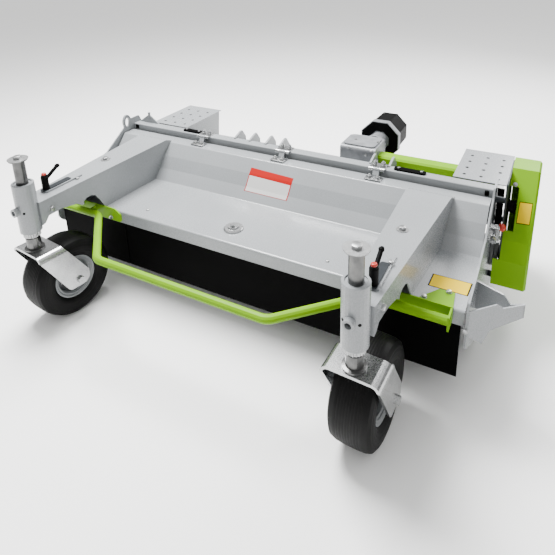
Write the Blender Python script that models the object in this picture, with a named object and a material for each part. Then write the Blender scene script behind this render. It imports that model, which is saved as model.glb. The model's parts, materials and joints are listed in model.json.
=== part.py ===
"""Front-mounted hammer knife mower deck: a rear housing with a hinged front hood on two casters.

Metres, +Z up. While the pieces are modelled, X = 0 is the middle of the deck, Y = 0 is the line
through both caster swivels with +Y to the rear, and Z = 0 is the ground. The last step moves
everything so that the origin is the bottom centre of the whole machine.
"""
import math

import bmesh
import bpy
from mathutils import Matrix, Vector

# Fits and facets
FIT = 0.0003              # gap between pieces that touch
RUN = 0.0005              # radial gap between a turning piece and its seat
ROUND = 24                # facets of a turned piece
FINE = 32                 # facets of tyres and rims

# Widths across the machine
DECK_HALF = 0.822         # inner face of a side plate
SIDE_PLATE = 0.006
HOOD_SIDE_GAP = 0.0055
BELT_STANDOFF = 0.032     # side plate to the back plate of the belt drive
BELT_PLATE = 0.005
BELT_COVER_DEPTH = 0.0917
BELT_COVER_WALL = 0.003
HOOD_HALF = DECK_HALF - HOOD_SIDE_GAP
SHELL_HALF = DECK_HALF - FIT
PLATE_OUT = DECK_HALF + SIDE_PLATE
BELT_PLATE_X = PLATE_OUT + BELT_STANDOFF
BELT_COVER_X = BELT_PLATE_X + BELT_PLATE + FIT

# Front hood: one folded sheet from the lip to the hinge shelf
SHEET = 0.005
BEND = 0.007
LIP_Y = 0.283
LIP_DEPTH = 0.0485
PAN_Z = 0.3395
SHELF_Z = 0.4703
SHELF_Y = 0.681
SHELF_EDGE_Y = 0.738
HOOD_PATH = [
    (LIP_Y, PAN_Z - LIP_DEPTH),
    (LIP_Y, PAN_Z),
    (SHELF_Y - 0.115, PAN_Z - 0.0025),
    (SHELF_Y - 0.0755, SHELF_Z - 0.0928),
    (SHELF_Y - 0.044, SHELF_Z - 0.0478),
    (SHELF_Y, SHELF_Z),
    (SHELF_EDGE_Y, SHELF_Z),
]

# Rear shell: rail, sloping back and skirt
RAIL_Y = SHELF_EDGE_Y + 0.014
RAIL_DEPTH = 0.043
RAIL_TOP = 0.4955
RAIL_FACE = 0.0405
SLOPE_TOP = (RAIL_Y + RAIL_DEPTH + 0.003, RAIL_TOP - 0.0255)
SLOPE_FOOT = (1.060, 0.371)
SKIRT_Y = 1.120
SKIRT_FOOT = 0.215
SHELL_PATH = [
    (RAIL_Y, RAIL_TOP - RAIL_FACE),
    (RAIL_Y, RAIL_TOP),
    (RAIL_Y + RAIL_DEPTH, RAIL_TOP),
    SLOPE_TOP,
    SLOPE_FOOT,
    (SKIRT_Y, SLOPE_FOOT[1] - 0.071),
    (SKIRT_Y, SKIRT_FOOT),
]

# Hinges between hood and rail
HINGE_X = (-0.4035, 0.0, 0.4035)
HINGE_Y = RAIL_Y - 0.009
HINGE_Z = RAIL_TOP
KNUCKLE_RADIUS = 0.008
KNUCKLE_HALF = 0.012
HINGE_HALF = 0.031
HINGE_PIN = 0.004
LEAF = 0.005
LEAF_FRONT = 0.051        # leaf's front edge ahead of the hinge line
STRAP_REAR = 0.047        # strap's rear edge behind the hinge line

# Caster arms and tubes
CASTER_X = DECK_HALF - 0.222
TUBE_RADIUS = 0.0363
TUBE_TOP = 0.5645
TUBE_LENGTH = 0.1835
TUBE_RECESS = 0.004
RECESS_RADIUS = 0.029
BOSS_RADIUS = 0.015
BOSS_BORE = 0.009
BOSS_REACH = 0.0157
BOSS_DROP = 0.093         # boss centre below the tube top
ARM_DROP = 0.077          # arm top below the tube top
ARM_TOP = TUBE_TOP - ARM_DROP
ARM_INNER = (CASTER_X - 0.0473, -0.0276)   # x at the lip, taper per metre of y
ARM_OUTER = (CASTER_X + 0.0651, 0.0877)
ARM_STRAP = 0.006
LEVER_AT = (CASTER_X + 0.013, 0.092)
LEVER_RADIUS = 0.0125
LEVER_HEIGHT = 0.0512
LEVER_CAP_RADIUS = 0.0105
LEVER_CAP = 0.006
HANDLE_RADIUS = 0.0065

# Stems and forks
STEM_RADIUS = 0.0195
STEM_RISE = 0.0885        # washer top above the tube top
WASHER_RADIUS = 0.0304
WASHER = 0.006
RING_RADIUS = 0.024
RING_COUNT = 3
COLLAR_RADIUS = 0.033
BOLT_RADIUS = 0.0105
BOLT_HEIGHT = 0.0095
FORK_CLEARANCE = 0.0035   # tyre to the underside of the fork
FORK_PLATE = 0.008
FORK_SIDE_GAP = 0.0115
FORK_BEND = 0.024

# Caster wheels
TYRE_RADIUS = 0.149
TYRE_HALF = 0.0625
TRAIL = 0.100
RIM_SEAT = 0.0665
RIM_FLANGE = 0.080
RIM_HALF = 0.051
RIM_WALL = 0.0045
HUB_RADIUS = 0.020
AXLE_RADIUS = 0.008
AXLE_HEAD_RADIUS = 0.013
AXLE_HEAD = 0.010
FORK_HALF = TYRE_HALF + FORK_SIDE_GAP + FORK_PLATE
FORK_TOP = 2 * TYRE_RADIUS + FORK_CLEARANCE + FORK_PLATE
PARKED_SWIVEL_DEG = {"left": -6.3, "right": -2.4}

# Guard tube in front of the hood
TUBE_RISE = PAN_Z - 0.0127
BUMPER_RADIUS = 0.014
BUMPER_BEND = 0.050
BUMPER_LINE = [
    (DECK_HALF - 0.035, LIP_Y - 0.039, TUBE_RISE),
    (CASTER_X - 0.053, LIP_Y - 0.039, TUBE_RISE),
    (0.328, 0.030, TUBE_RISE - 0.0027),
]
BUMPER_PLATE = 0.005

# Rubber flaps inside the lip: low x, high x
FLAP_SHEET = 0.005
FLAP_FOOT = 0.105
FLAP_GAP = 0.005
FLAP_SPLIT = 0.4575
FLAPS = {
    "left": (-HOOD_HALF + 0.0085, -FLAP_SPLIT - FLAP_GAP / 2),
    "centre": (-FLAP_SPLIT + FLAP_GAP / 2, FLAP_SPLIT - FLAP_GAP / 2),
    "right": (FLAP_SPLIT + FLAP_GAP / 2, HOOD_HALF - 0.0085),
}

# Hitch fins behind the rail
FIN_X = (-0.260, -0.185, -0.104, -0.0365, 0.365, 0.4405)
FIN_HALF = 0.004
FIN_RISE = 0.0195

# Rotor and rear roller
ROTOR_Y = 0.815
ROTOR_Z = 0.2245
ROTOR_TUBE = 0.070
ROTOR_TIP = 0.187
ROTOR_SIDE_GAP = 0.032
ROTOR_SHAFT = 0.025
FLAIL_COUNT = 20
FLAIL_HALF = 0.028
BEARING_FLANGE = 0.055
BEARING_RADIUS = 0.038
ROLLER_Y = 1.065
ROLLER_RADIUS = 0.065
ROLLER_SHAFT = 0.0125
ROLLER_SIDE_GAP = 0.022
ROLLER_BRACKET = 0.008

# Step plates behind the rail: low x, high x
STEP_SHEET = 0.003
STEP_TOP = 0.4945
STEP_Y = (SLOPE_TOP[0] + 0.009, 1.088)
STEPS = {"left": (0.077 - DECK_HALF, 0.276 - DECK_HALF), "right": (DECK_HALF - 0.151, BELT_PLATE_X - 0.003)}
STEP_HOLE = 0.0065
STEP_HOLE_PITCH = (0.0587, 0.0607)

# Gearbox, drive shaft and covers
GEARBOX_X = (0.210, FIN_X[4] - FIN_HALF - 0.001)
GEARBOX_Y = (0.850, 0.985)
GEARBOX_TOP = 0.530
PTO_X = 0.315
PTO_Z = 0.488
PTO_FLANGE_Y = 1.045
PTO_FLANGE_RADIUS = 0.090
PTO_FLANGE_WALL = 0.007
PTO_GUARD_WALL = 0.004
PTO_GUARD_END = 1.200
PTO_SHAFT_RADIUS = 0.0175
PTO_SHAFT_END = 1.150
PTO_SPLINES = 6
COVER_Y = (0.878, 0.938)
COVER_TOP = STEP_TOP - STEP_SHEET - 0.004
COVER_WALL = 0.003

# Colours: red, green, blue, roughness, metallic
FINISHES = {
    "grey_paint": (0.58, 0.59, 0.60, 0.38, 0.0),
    "green_paint": (0.33, 0.52, 0.03, 0.38, 0.0),
    "zinc_plate": (0.60, 0.60, 0.58, 0.35, 0.9),
    "bare_steel": (0.35, 0.34, 0.33, 0.45, 0.9),
    "cast_metal": (0.52, 0.52, 0.51, 0.60, 0.5),
    "black_plastic": (0.02, 0.02, 0.02, 0.45, 0.0),
    "black_rubber": (0.02, 0.02, 0.02, 0.80, 0.0),
    "tyre_rubber": (0.02, 0.02, 0.02, 0.85, 0.0),
    "rim_paint": (0.50, 0.51, 0.52, 0.45, 0.0),
}
SIDES = {"left": -1, "right": 1}
AXES = {"X": (1, 2, 0), "Y": (0, 2, 1), "Z": (0, 1, 2)}


def clear_scene():
    """Removes every object, so that the script can run again in an open file."""
    for item in list(bpy.data.objects):
        bpy.data.objects.remove(item, do_unlink=True)


def finish(name):
    """Returns the named finish as a Principled material."""
    material = bpy.data.materials.get(name) or bpy.data.materials.new(name)
    red, green, blue, roughness, metallic = FINISHES[name]
    material.use_nodes = True
    shader = material.node_tree.nodes["Principled BSDF"]
    shader.inputs["Base Color"].default_value = (red, green, blue, 1.0)
    shader.inputs["Roughness"].default_value = roughness
    shader.inputs["Metallic"].default_value = metallic
    material.diffuse_color = (red, green, blue, 1.0)
    return material


def shaped(shape):
    """Turns a bmesh into an object with its faces outward."""
    bmesh.ops.recalc_face_normals(shape, faces=shape.faces[:])
    mesh = bpy.data.meshes.new("shape")
    shape.to_mesh(mesh)
    shape.free()
    item = bpy.data.objects.new("shape", mesh)
    bpy.context.scene.collection.objects.link(item)
    return item


def lofted(sections, axis):
    """A solid through outlines of equal length; each section is (outline, position)."""
    one, two, three = AXES[axis]
    shape = bmesh.new()
    rings = []
    for outline, position in sections:
        ring = []
        for a, b in outline:
            point = [0.0, 0.0, 0.0]
            point[one], point[two], point[three] = a, b, position
            ring.append(shape.verts.new(point))
        rings.append(ring)
    shape.faces.new(rings[0])
    shape.faces.new(rings[-1])
    for here, there in zip(rings, rings[1:]):
        for k in range(len(here)):
            n = (k + 1) % len(here)
            shape.faces.new((here[k], here[n], there[n], there[k]))
    return shaped(shape)


def prism(outline, axis, low, high):
    """Extrudes an outline from low to high along an axis."""
    return lofted([(outline, low), (outline, high)], axis)


def block(low, high):
    """A box between two corners."""
    outline = [(low[0], low[1]), (high[0], low[1]), (high[0], high[1]), (low[0], high[1])]
    return prism(outline, "Z", low[2], high[2])


def turned(profile, axis, centre, steps=ROUND, ring=False):
    """Revolves a closed profile of (radius, position) points; ring puts a facet edge lowest."""
    one, two, three = AXES[axis]
    start = math.pi / 2 if ring else math.pi / steps
    shape = bmesh.new()
    rows = []
    for radius, position in profile:
        row = []
        for k in range(1 if radius == 0 else steps):
            angle = start + 2 * math.pi * k / steps
            point = [0.0, 0.0, 0.0]
            point[one] = centre[one] + radius * math.cos(angle)
            point[two] = centre[two] + radius * math.sin(angle)
            point[three] = centre[three] + position
            row.append(shape.verts.new(point))
        rows.append(row)
    for here, there in zip(rows, rows[1:] + rows[:1]):
        if len(here) == 1 and len(there) == 1:
            continue
        for k in range(steps):
            n = k + 1
            corners = [here[k % len(here)], here[n % len(here)], there[n % len(there)], there[k % len(there)]]
            shape.faces.new(list(dict.fromkeys(corners)))
    return shaped(shape)


def rod(axis, centre, radius, low, high, steps=ROUND):
    """A solid cylinder from low to high along an axis, measured from centre."""
    return turned([(0, low), (radius, low), (radius, high), (0, high)], axis, centre, steps)


def slanted_rod(start, end, radius, steps=16):
    """A solid cylinder between two points."""
    run = Vector(end) - Vector(start)
    item = rod("Z", (0, 0, 0), radius, 0, run.length, steps)
    turn = Vector((0, 0, 1)).rotation_difference(run).to_matrix().to_4x4()
    item.data.transform(Matrix.Translation(start) @ turn)
    return item


def filleted(points, radii, steps=4):
    """Rounds the corners of an outline; radii holds one radius for each corner, 0 keeps it."""
    outline = []
    for i, corner in enumerate(points):
        here = Vector(corner)
        if radii[i] == 0:
            outline.append(tuple(here))
            continue
        before = Vector(points[i - 1]) - here
        after = Vector(points[(i + 1) % len(points)]) - here
        half_turn = before.angle(after) / 2
        reach = min(radii[i] / math.tan(half_turn), before.length * 0.49, after.length * 0.49)
        size = reach * math.tan(half_turn)
        inward = (before.normalized() + after.normalized()).normalized()
        middle = here + inward * size / math.sin(half_turn)
        first = here + before.normalized() * reach - middle
        last = here + after.normalized() * reach - middle
        for k in range(steps + 1):
            outline.append(tuple(middle + first.slerp(last, k / steps).normalized() * size))
    return outline


def rounded(points, radius, steps=4):
    """Rounds every corner of an outline by one radius."""
    return filleted(points, [radius] * len(points), steps)


def moved_line(points, distance):
    """Moves a polyline to its left by a distance, with mitred corners."""
    line = []
    for i, point in enumerate(points):
        here = Vector(point)
        ahead = (Vector(points[i + 1]) - here).normalized() if i + 1 < len(points) else None
        behind = (here - Vector(points[i - 1])).normalized() if i > 0 else None
        ahead = ahead or behind
        behind = behind or ahead
        left = Vector((-ahead.y, ahead.x))
        side = (left + Vector((-behind.y, behind.x))).normalized()
        line.append(tuple(here + side * distance / side.dot(left)))
    return line


def moved_loop(points, distance):
    """Moves a closed outline to its left by a distance."""
    return moved_line(points[-1:] + points + points[:1], distance)[1:-1]


def folded(path, bend=BEND):
    """The corners of a sheet's path rounded by the bend radius, its ends kept."""
    return filleted(path, [0] + [bend] * (len(path) - 2) + [0], 3)


def bent_sheet(path, thickness):
    """The outline of a sheet along path; the sheet lies to the right of the path."""
    return list(path) + list(reversed(moved_line(path, -thickness)))


def slope_z(y):
    """The height of the rear shell's sloping back at y."""
    return SLOPE_TOP[1] + (y - SLOPE_TOP[0]) * (SLOPE_FOOT[1] - SLOPE_TOP[1]) / (SLOPE_FOOT[0] - SLOPE_TOP[0])


def arm_x(edge, y):
    """The x of an arm's inner or outer edge at y."""
    return edge[0] + edge[1] * (y - LIP_Y)


def combine(base, tools, operation):
    """Unites, cuts or intersects base with tools one after another, and removes the tools."""
    for tool in tools:
        step = base.modifiers.new("step", "BOOLEAN")
        step.operation = operation
        step.solver = "EXACT"
        step.object = tool
        graph = bpy.context.evaluated_depsgraph_get()
        mesh = bpy.data.meshes.new_from_object(base.evaluated_get(graph))
        base.modifiers.clear()
        base.data = mesh
        bpy.data.objects.remove(tool, do_unlink=True)
    return base


def unite(base, *tools):
    """Welds tools onto base."""
    return combine(base, tools, "UNION")


def cut(base, *tools):
    """Cuts tools out of base."""
    return combine(base, tools, "DIFFERENCE")


def common(base, *tools):
    """Keeps what base shares with each tool."""
    return combine(base, tools, "INTERSECT")


def on_side(item, side):
    """Mirrors a piece that was modelled for the right to the left, if that is its side."""
    if side == "left":
        item.data.transform(Matrix.Scale(-1, 4, (1, 0, 0)))
        item.data.flip_normals()
    return item


def pivot(name, place, carrier=None, turn=0.0):
    """An empty on a joint's axis; place is in deck coordinates, turn is about Z."""
    item = bpy.data.objects.new(name, None)
    bpy.context.scene.collection.objects.link(item)
    item.empty_display_size = 0.05
    item.parent = carrier
    origin = Vector(carrier["place"]) if carrier else Vector((0, 0, 0))
    item.location = Vector(place) - origin
    item.rotation_euler.z = turn
    item["place"] = [float(value) for value in place]
    return item


def piece(name, item, paint, carrier):
    """Names a finished piece, paints it and hangs it on its carrier."""
    item.name = name
    item.data.name = name
    item.data.materials.clear()
    item.data.materials.append(finish(paint))
    item.data.transform(Matrix.Translation(-Vector(carrier["place"])))
    item.parent = carrier
    item.data.shade_smooth()
    item.data.set_sharp_from_angle(angle=math.radians(32))
    return item


def front_hood(hood):
    """The folded front sheet with the front halves of its hinges."""
    sheet = prism(bent_sheet(folded(HOOD_PATH), SHEET), "X", -HOOD_HALF, HOOD_HALF)
    leaf_y = HINGE_Y - LEAF_FRONT
    riser = [(SHELF_EDGE_Y - 0.011, SHELF_Z - 0.002), (SHELF_EDGE_Y, SHELF_Z - 0.002),
             (HINGE_Y + 0.004, HINGE_Z - 0.005), (HINGE_Y, HINGE_Z), (HINGE_Y - 0.0065, HINGE_Z),
             (SHELF_EDGE_Y - 0.011, SHELF_Z + LEAF + 0.003)]
    for x in HINGE_X:
        leaf = block((x - HINGE_HALF, leaf_y, SHELF_Z - 0.001), (x + HINGE_HALF, SHELF_EDGE_Y - 0.010, SHELF_Z + LEAF))
        neck = prism(riser, "X", x - KNUCKLE_HALF, x + KNUCKLE_HALF)
        knuckle = rod("X", (x, HINGE_Y, HINGE_Z), KNUCKLE_RADIUS, -KNUCKLE_HALF, KNUCKLE_HALF, 24)
        unite(sheet, leaf, neck, knuckle)
        cut(sheet, rod("X", (x, HINGE_Y, HINGE_Z), HINGE_PIN + RUN, -0.02, 0.02, 16))
    piece("front_hood", sheet, "grey_paint", hood)


def rear_shell(deck):
    """Rail, sloping back and skirt, folded from one sheet, with a backing pad under each hinge."""
    sheet = prism(bent_sheet(folded(SHELL_PATH, 0.004), SHEET), "X", -SHELL_HALF, SHELL_HALF)
    high = RAIL_TOP - SHEET + 0.0005
    for x in HINGE_X:
        unite(sheet, block((x - HINGE_HALF, RAIL_Y + 0.010, high - 0.0045),
                           (x + HINGE_HALF, RAIL_Y + RAIL_DEPTH - 0.012, high)))
    piece("rear_shell", sheet, "grey_paint", deck)


def rear_hinge(number, x, deck):
    """The rear half of one hood hinge: a strap on the rail, two lugs, two knuckles and the pin."""
    low, high = RAIL_TOP + FIT, RAIL_TOP + LEAF
    item = block((x - HINGE_HALF, RAIL_Y + 0.003, low), (x + HINGE_HALF, HINGE_Y + STRAP_REAR, high))
    for side in (-1, 1):
        near, far = sorted((side * (KNUCKLE_HALF + RUN), side * HINGE_HALF))
        lug = block((x + near, HINGE_Y, RAIL_TOP + 0.0005), (x + far, RAIL_Y + 0.005, high))
        unite(item, lug, rod("X", (x, HINGE_Y, HINGE_Z), KNUCKLE_RADIUS, near, far, 24))
    half = HINGE_HALF - 0.003
    unite(item, rod("X", (x, HINGE_Y, HINGE_Z), HINGE_PIN, -half, half, 16))
    piece(f"rear_hinge_{number}", item, "grey_paint", deck)


def pin_plate(deck):
    """The upright three-sided plate with its pin at the rail's left end."""
    rear, low, high = RAIL_Y + RAIL_DEPTH, RAIL_TOP + FIT, RAIL_TOP + 0.0355
    foot = 0.007 - DECK_HALF
    outline = [(foot, low), (foot + 0.115, low), (foot + 0.065, high), (foot + 0.051, high)]
    item = prism(outline, "Y", rear - 0.006, rear - 0.0002)
    pin = rod("Z", (foot + 0.058, rear - 0.003, RAIL_TOP), 0.006, 0.022, 0.050, 16)
    piece("pin_plate", unite(item, pin), "grey_paint", deck)


def hitch_fin(number, x, deck):
    """One upright fin that straddles the rail's rear edge, for the carrier's hitch."""
    rear = RAIL_Y + RAIL_DEPTH
    top, foot = RAIL_TOP + FIN_RISE, rear + 0.071
    outline = [(rear - 0.015, RAIL_TOP + FIT), (rear - 0.015, RAIL_TOP + 0.005), (rear + 0.029, top),
               (rear + 0.045, top), (foot, RAIL_TOP - 0.0155), (foot, slope_z(foot) + 2 * FIT),
               (rear + 0.011, slope_z(rear + 0.011) + 2 * FIT), (rear + 0.0038, SLOPE_TOP[1] + 0.008),
               (rear + 0.0028, RAIL_TOP + FIT)]
    piece(f"hitch_fin_{number}", prism(outline, "X", x - FIN_HALF, x + FIN_HALF), "grey_paint", deck)


def arm(side, hood):
    """A caster arm: a tapered channel, open below, arched over the guard tube."""
    top, near, far = ARM_TOP, 0.020, SHELF_Y + 0.009
    seat = [p for p in moved_line(folded(HOOD_PATH), FIT) if LIP_Y + 0.010 < p[0] < far]
    arch = LIP_Y + 0.0015
    side_view = [(near, top), (far - 0.035, top), (far, SHELF_Z + 0.0037), (far, SHELF_Z + FIT)]
    side_view += list(reversed(seat))
    side_view += [(arch, PAN_Z + FIT), (arch, PAN_Z + 0.0085), (LIP_Y - 0.015, PAN_Z + 0.0405)]
    side_view += [(LIP_Y - 0.031, top - 0.0825), (LIP_Y - 0.051, top - 0.071), (LIP_Y - 0.073, top - 0.071)]
    side_view += [(LIP_Y - 0.089, top - 0.0795), (LIP_Y - 0.095, top - 0.0925)]
    side_view += [(0.165, top - 0.0755), (0.105, top - 0.0625), (0.048, top - 0.0635)]
    side_view += [(0.032, top - 0.0835), (near, top - 0.0875)]
    wide = 0.15
    plan = [(arm_x(ARM_INNER, -0.1), -0.1), (arm_x(ARM_OUTER, -0.1), -0.1),
            (arm_x(ARM_OUTER, 0.8), 0.8), (arm_x(ARM_INNER, 0.8), 0.8)]
    item = prism(side_view, "X", CASTER_X - wide, CASTER_X + wide)
    item = common(item, prism(plan, "Z", 0.20, 0.70))
    inside = [(x + SHEET, y) if k in (0, 3) else (x - SHEET, y) for k, (x, y) in enumerate(plan)]
    hollow_view = [(0.045, top - SHEET), (far - 0.0365, top - SHEET), (far - 0.006, SHELF_Z + 0.0006),
                   (far - 0.006, 0.25), (0.045, 0.25)]
    hollow = common(prism(hollow_view, "X", CASTER_X - wide, CASTER_X + wide), prism(inside, "Z", 0.20, 0.70))
    item = cut(item, hollow)
    strap = rounded([(CASTER_X - 0.005, 0.078), (CASTER_X + 0.031, 0.078), (CASTER_X + 0.031, 0.240),
                     (CASTER_X - 0.005, 0.240)], 0.006)
    item = unite(item, prism(strap, "Z", top - 0.001, top + ARM_STRAP))
    item = cut(item, rod("Z", (CASTER_X, 0, 0), TUBE_RADIUS + FIT, 0.30, 0.60))
    piece("arm_" + side, on_side(item, side), "grey_paint", hood)


def caster_tube(side, hood):
    """The upright bearing tube at an arm's end, with its recess and front boss."""
    foot = TUBE_TOP - TUBE_LENGTH
    bore = STEM_RADIUS + RUN
    item = turned([(bore, foot), (TUBE_RADIUS - 0.0015, foot), (TUBE_RADIUS, foot + 0.0015),
                   (TUBE_RADIUS, TUBE_TOP - 0.0015), (TUBE_RADIUS - 0.0015, TUBE_TOP), (RECESS_RADIUS, TUBE_TOP),
                   (RECESS_RADIUS, TUBE_TOP - TUBE_RECESS), (bore, TUBE_TOP - TUBE_RECESS)],
                  "Z", (CASTER_X, 0, 0))
    at = (CASTER_X, 0, TUBE_TOP - BOSS_DROP)
    boss = rod("Y", at, BOSS_RADIUS, -TUBE_RADIUS - BOSS_REACH, -bore - 0.005, 24)
    hole = rod("Y", at, BOSS_BORE, -TUBE_RADIUS - BOSS_REACH - 0.01, -TUBE_RADIUS + 0.002, 16)
    item = cut(unite(item, boss), hole)
    piece("caster_tube_" + side, on_side(item, side), "grey_paint", hood)


def clamp_lever(side, hood):
    """The hand lever on an arm's strap: hub, cap and a handle that slopes up to the rear."""
    x, y = LEVER_AT
    low = ARM_TOP + ARM_STRAP + FIT
    high = low + LEVER_HEIGHT
    hub = turned([(0, low), (LEVER_RADIUS - 0.002, low), (LEVER_RADIUS, low + 0.004), (LEVER_RADIUS, high - 0.002),
                  (LEVER_CAP_RADIUS, high), (LEVER_CAP_RADIUS, high + LEVER_CAP - 0.002),
                  (LEVER_CAP_RADIUS - 0.003, high + LEVER_CAP), (0, high + LEVER_CAP)], "Z", (x, y, 0), 24)
    handle = slanted_rod((x, y, high - 0.016), (x, y + 0.060, high + 0.018), HANDLE_RADIUS)
    knob = turned([(0, -0.008), (0.006, -0.007), (0.0085, 0), (0.006, 0.007), (0, 0.008)],
                  "Y", (x, y + 0.058, high + 0.017), 16)
    piece("clamp_lever_" + side, on_side(unite(hub, handle, knob), side), "black_plastic", hood)


def bumper(hood):
    """The bent guard tube in front of the hood, with its two welded brackets."""
    line = [Vector((-x, y, z)) for x, y, z in BUMPER_LINE]
    line += [Vector(point) for point in reversed(BUMPER_LINE)]
    path = [line[0]]
    for before, here, after in zip(line, line[1:], line[2:]):
        back, ahead = (before - here).normalized(), (after - here).normalized()
        half_turn = back.angle(ahead) / 2
        reach = BUMPER_BEND / math.tan(half_turn)
        middle = here + (back + ahead).normalized() * BUMPER_BEND / math.sin(half_turn)
        first, last = here + back * reach - middle, here + ahead * reach - middle
        path += [middle + first.slerp(last, k / 6).normalized() * BUMPER_BEND for k in range(7)]
    path.append(line[-1])
    curve = bpy.data.curves.new("bumper", "CURVE")
    curve.dimensions = "3D"
    curve.bevel_depth = BUMPER_RADIUS
    curve.bevel_resolution = 4
    curve.use_fill_caps = True
    spline = curve.splines.new("POLY")
    spline.points.add(len(path) - 1)
    for point, place in zip(spline.points, path):
        point.co = (*place, 1)
    swept = bpy.data.objects.new("shape", curve)
    bpy.context.scene.collection.objects.link(swept)
    graph = bpy.context.evaluated_depsgraph_get()
    mesh = bpy.data.meshes.new_from_object(swept.evaluated_get(graph))
    bpy.data.objects.remove(swept, do_unlink=True)
    shape = bmesh.new()
    shape.from_mesh(mesh)
    bmesh.ops.remove_doubles(shape, verts=shape.verts[:], dist=0.00001)
    item = shaped(shape)
    back = LIP_Y - FIT
    face = back - BUMPER_PLATE
    end = DECK_HALF - 0.037
    tube_y, tube_z = BUMPER_LINE[0][1], BUMPER_LINE[0][2]
    inner = end - 0.320
    lip = filleted([(inner, PAN_Z - 0.0435), (end, PAN_Z - 0.0435), (end, PAN_Z + 0.0075),
                    (inner + 0.030, PAN_Z + 0.0075), (inner, PAN_Z - 0.012)], [0.010, 0, 0, 0.010, 0.010])
    low = PAN_Z + FIT
    tab = [(end - 0.105, face + 0.001), (end, face + 0.001), (end - 0.007, LIP_Y + 0.067),
           (end - 0.052, LIP_Y + 0.067)]
    for side in SIDES:
        parts = [prism(lip, "Y", face, back), prism(tab, "Z", low, low + 0.003),
                 block((CASTER_X - 0.003, tube_y + 0.004, tube_z - 0.010),
                       (CASTER_X + 0.003, face + 0.001, tube_z + 0.010)),
                 block((end - 0.006, tube_y - 0.012, PAN_Z - 0.0395),
                       (end - 0.0005, back - 0.001, PAN_Z + 0.006))]
        unite(item, *[on_side(part, side) for part in parts])
    piece("bumper", item, "green_paint", hood)


def rubber_flap(name, hood):
    """One rubber flap behind the hood's lip."""
    low, high = FLAPS[name]
    face = LIP_Y + SHEET + FIT
    item = block((low, face, FLAP_FOOT), (high, face + FLAP_SHEET, PAN_Z - 0.012))
    piece("flap_" + name, item, "black_rubber", hood)


def hood_latch(hood):
    """The round lock in the middle of the pan: flange, hub and bolt head."""
    low = PAN_Z + FIT
    flange = turned([(0, low), (0.036, low), (0.036, low + 0.003), (0.033, low + 0.006), (0.021, low + 0.006),
                     (0.019, low + 0.010), (0, low + 0.010)], "Z", (-0.005, 0.370, 0))
    head = rod("Z", (-0.005, 0.370, 0), 0.011, low + 0.009, low + 0.017, 6)
    piece("hood_latch", unite(flange, head), "zinc_plate", hood)


def stem(side, swivel):
    """The swivel stem: washer, spacer rings and collar as one turned piece, with its bolt."""
    x, y, _ = swivel["place"]
    top = TUBE_TOP + STEM_RISE
    foot = FORK_TOP + FIT
    high = TUBE_TOP - TUBE_LENGTH - FIT
    profile = [(0, foot), (COLLAR_RADIUS, foot), (COLLAR_RADIUS, foot + 0.006), (RING_RADIUS + 0.0005, foot + 0.008),
               (RING_RADIUS + 0.0005, high - 0.024)]
    pitch = 0.022 / RING_COUNT
    for k in range(RING_COUNT):
        z = high - 0.022 + pitch * k
        profile += [(RING_RADIUS - 0.002, z - 0.0012), (RING_RADIUS - 0.002, z + 0.0006),
                    (RING_RADIUS, z + 0.0016), (RING_RADIUS, z + pitch - 0.002)]
    profile += [(RING_RADIUS, high), (STEM_RADIUS, high), (STEM_RADIUS, top - WASHER), (WASHER_RADIUS, top - WASHER),
                (WASHER_RADIUS, top), (0, top)]
    bolt = rod("Z", (x, y, 0), BOLT_RADIUS, top - 0.002, top + BOLT_HEIGHT, 6)
    piece("stem_" + side, unite(turned(profile, "Z", (x, y, 0)), bolt), "bare_steel", swivel)


def fork(side, swivel):
    """The fork: a plate bent over the tyre, its legs raked back to the axle, with the axle."""
    x, y, _ = swivel["place"]
    half, plate, bend, top = FORK_HALF, FORK_PLATE, FORK_BEND, FORK_TOP
    outside = filleted([(x - half, 0.05), (x - half, top), (x + half, top), (x + half, 0.05)], [0, bend, bend, 0], 5)
    saddle = prism(bent_sheet(outside, plate), "Y", y - 0.10, y + 0.25)
    back = TRAIL + 0.040
    leg = filleted([(-0.035, top + 0.01), (0.055, top + 0.01), (0.055, top - 0.002), (back, TYRE_RADIUS + 0.021),
                    (back, TYRE_RADIUS - 0.007), (back - 0.020, TYRE_RADIUS - 0.025),
                    (TRAIL - 0.038, TYRE_RADIUS - 0.023), (TRAIL - 0.048, TYRE_RADIUS - 0.015),
                    (-0.035, top - 0.0195)], [0, 0, 0.006, 0.012, 0.010, 0.010, 0.008, 0.008, 0.008])
    saddle = common(saddle, prism([(y + a, z) for a, z in leg], "X", x - 0.2, x + 0.2))
    centre = (x, y + TRAIL, TYRE_RADIUS)
    reach = half + AXLE_HEAD
    axle = rod("X", centre, AXLE_RADIUS, -reach - 0.004, reach, 24)
    head = rod("X", centre, AXLE_HEAD_RADIUS, half - 0.001, reach, 6)
    nut = rod("X", centre, AXLE_HEAD_RADIUS, -reach, -half + 0.001, 6)
    piece("fork_" + side, unite(saddle, axle, head, nut), "zinc_plate", swivel)


def rim(side, wheel):
    """The rim: flanges, barrel, disc and hub as one turned piece."""
    half, wall = RIM_HALF, RIM_WALL
    hub = FORK_HALF - FORK_PLATE - 0.004
    bore = AXLE_RADIUS + RUN
    edge = [(HUB_RADIUS, 0.003), (RIM_SEAT - wall - 0.006, 0.003), (RIM_SEAT - wall, 0.009),
            (RIM_SEAT - wall, half - 0.012), (RIM_FLANGE - 0.005, half), (RIM_FLANGE, half),
            (RIM_FLANGE, half - 0.005), (RIM_SEAT, half - 0.005)]
    right = [(bore, hub), (HUB_RADIUS, hub)] + edge
    profile = right + [(r, -a) for r, a in reversed(right)]
    piece("rim_" + side, turned(profile, "X", wheel["place"], FINE, ring=True), "rim_paint", wheel)


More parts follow.
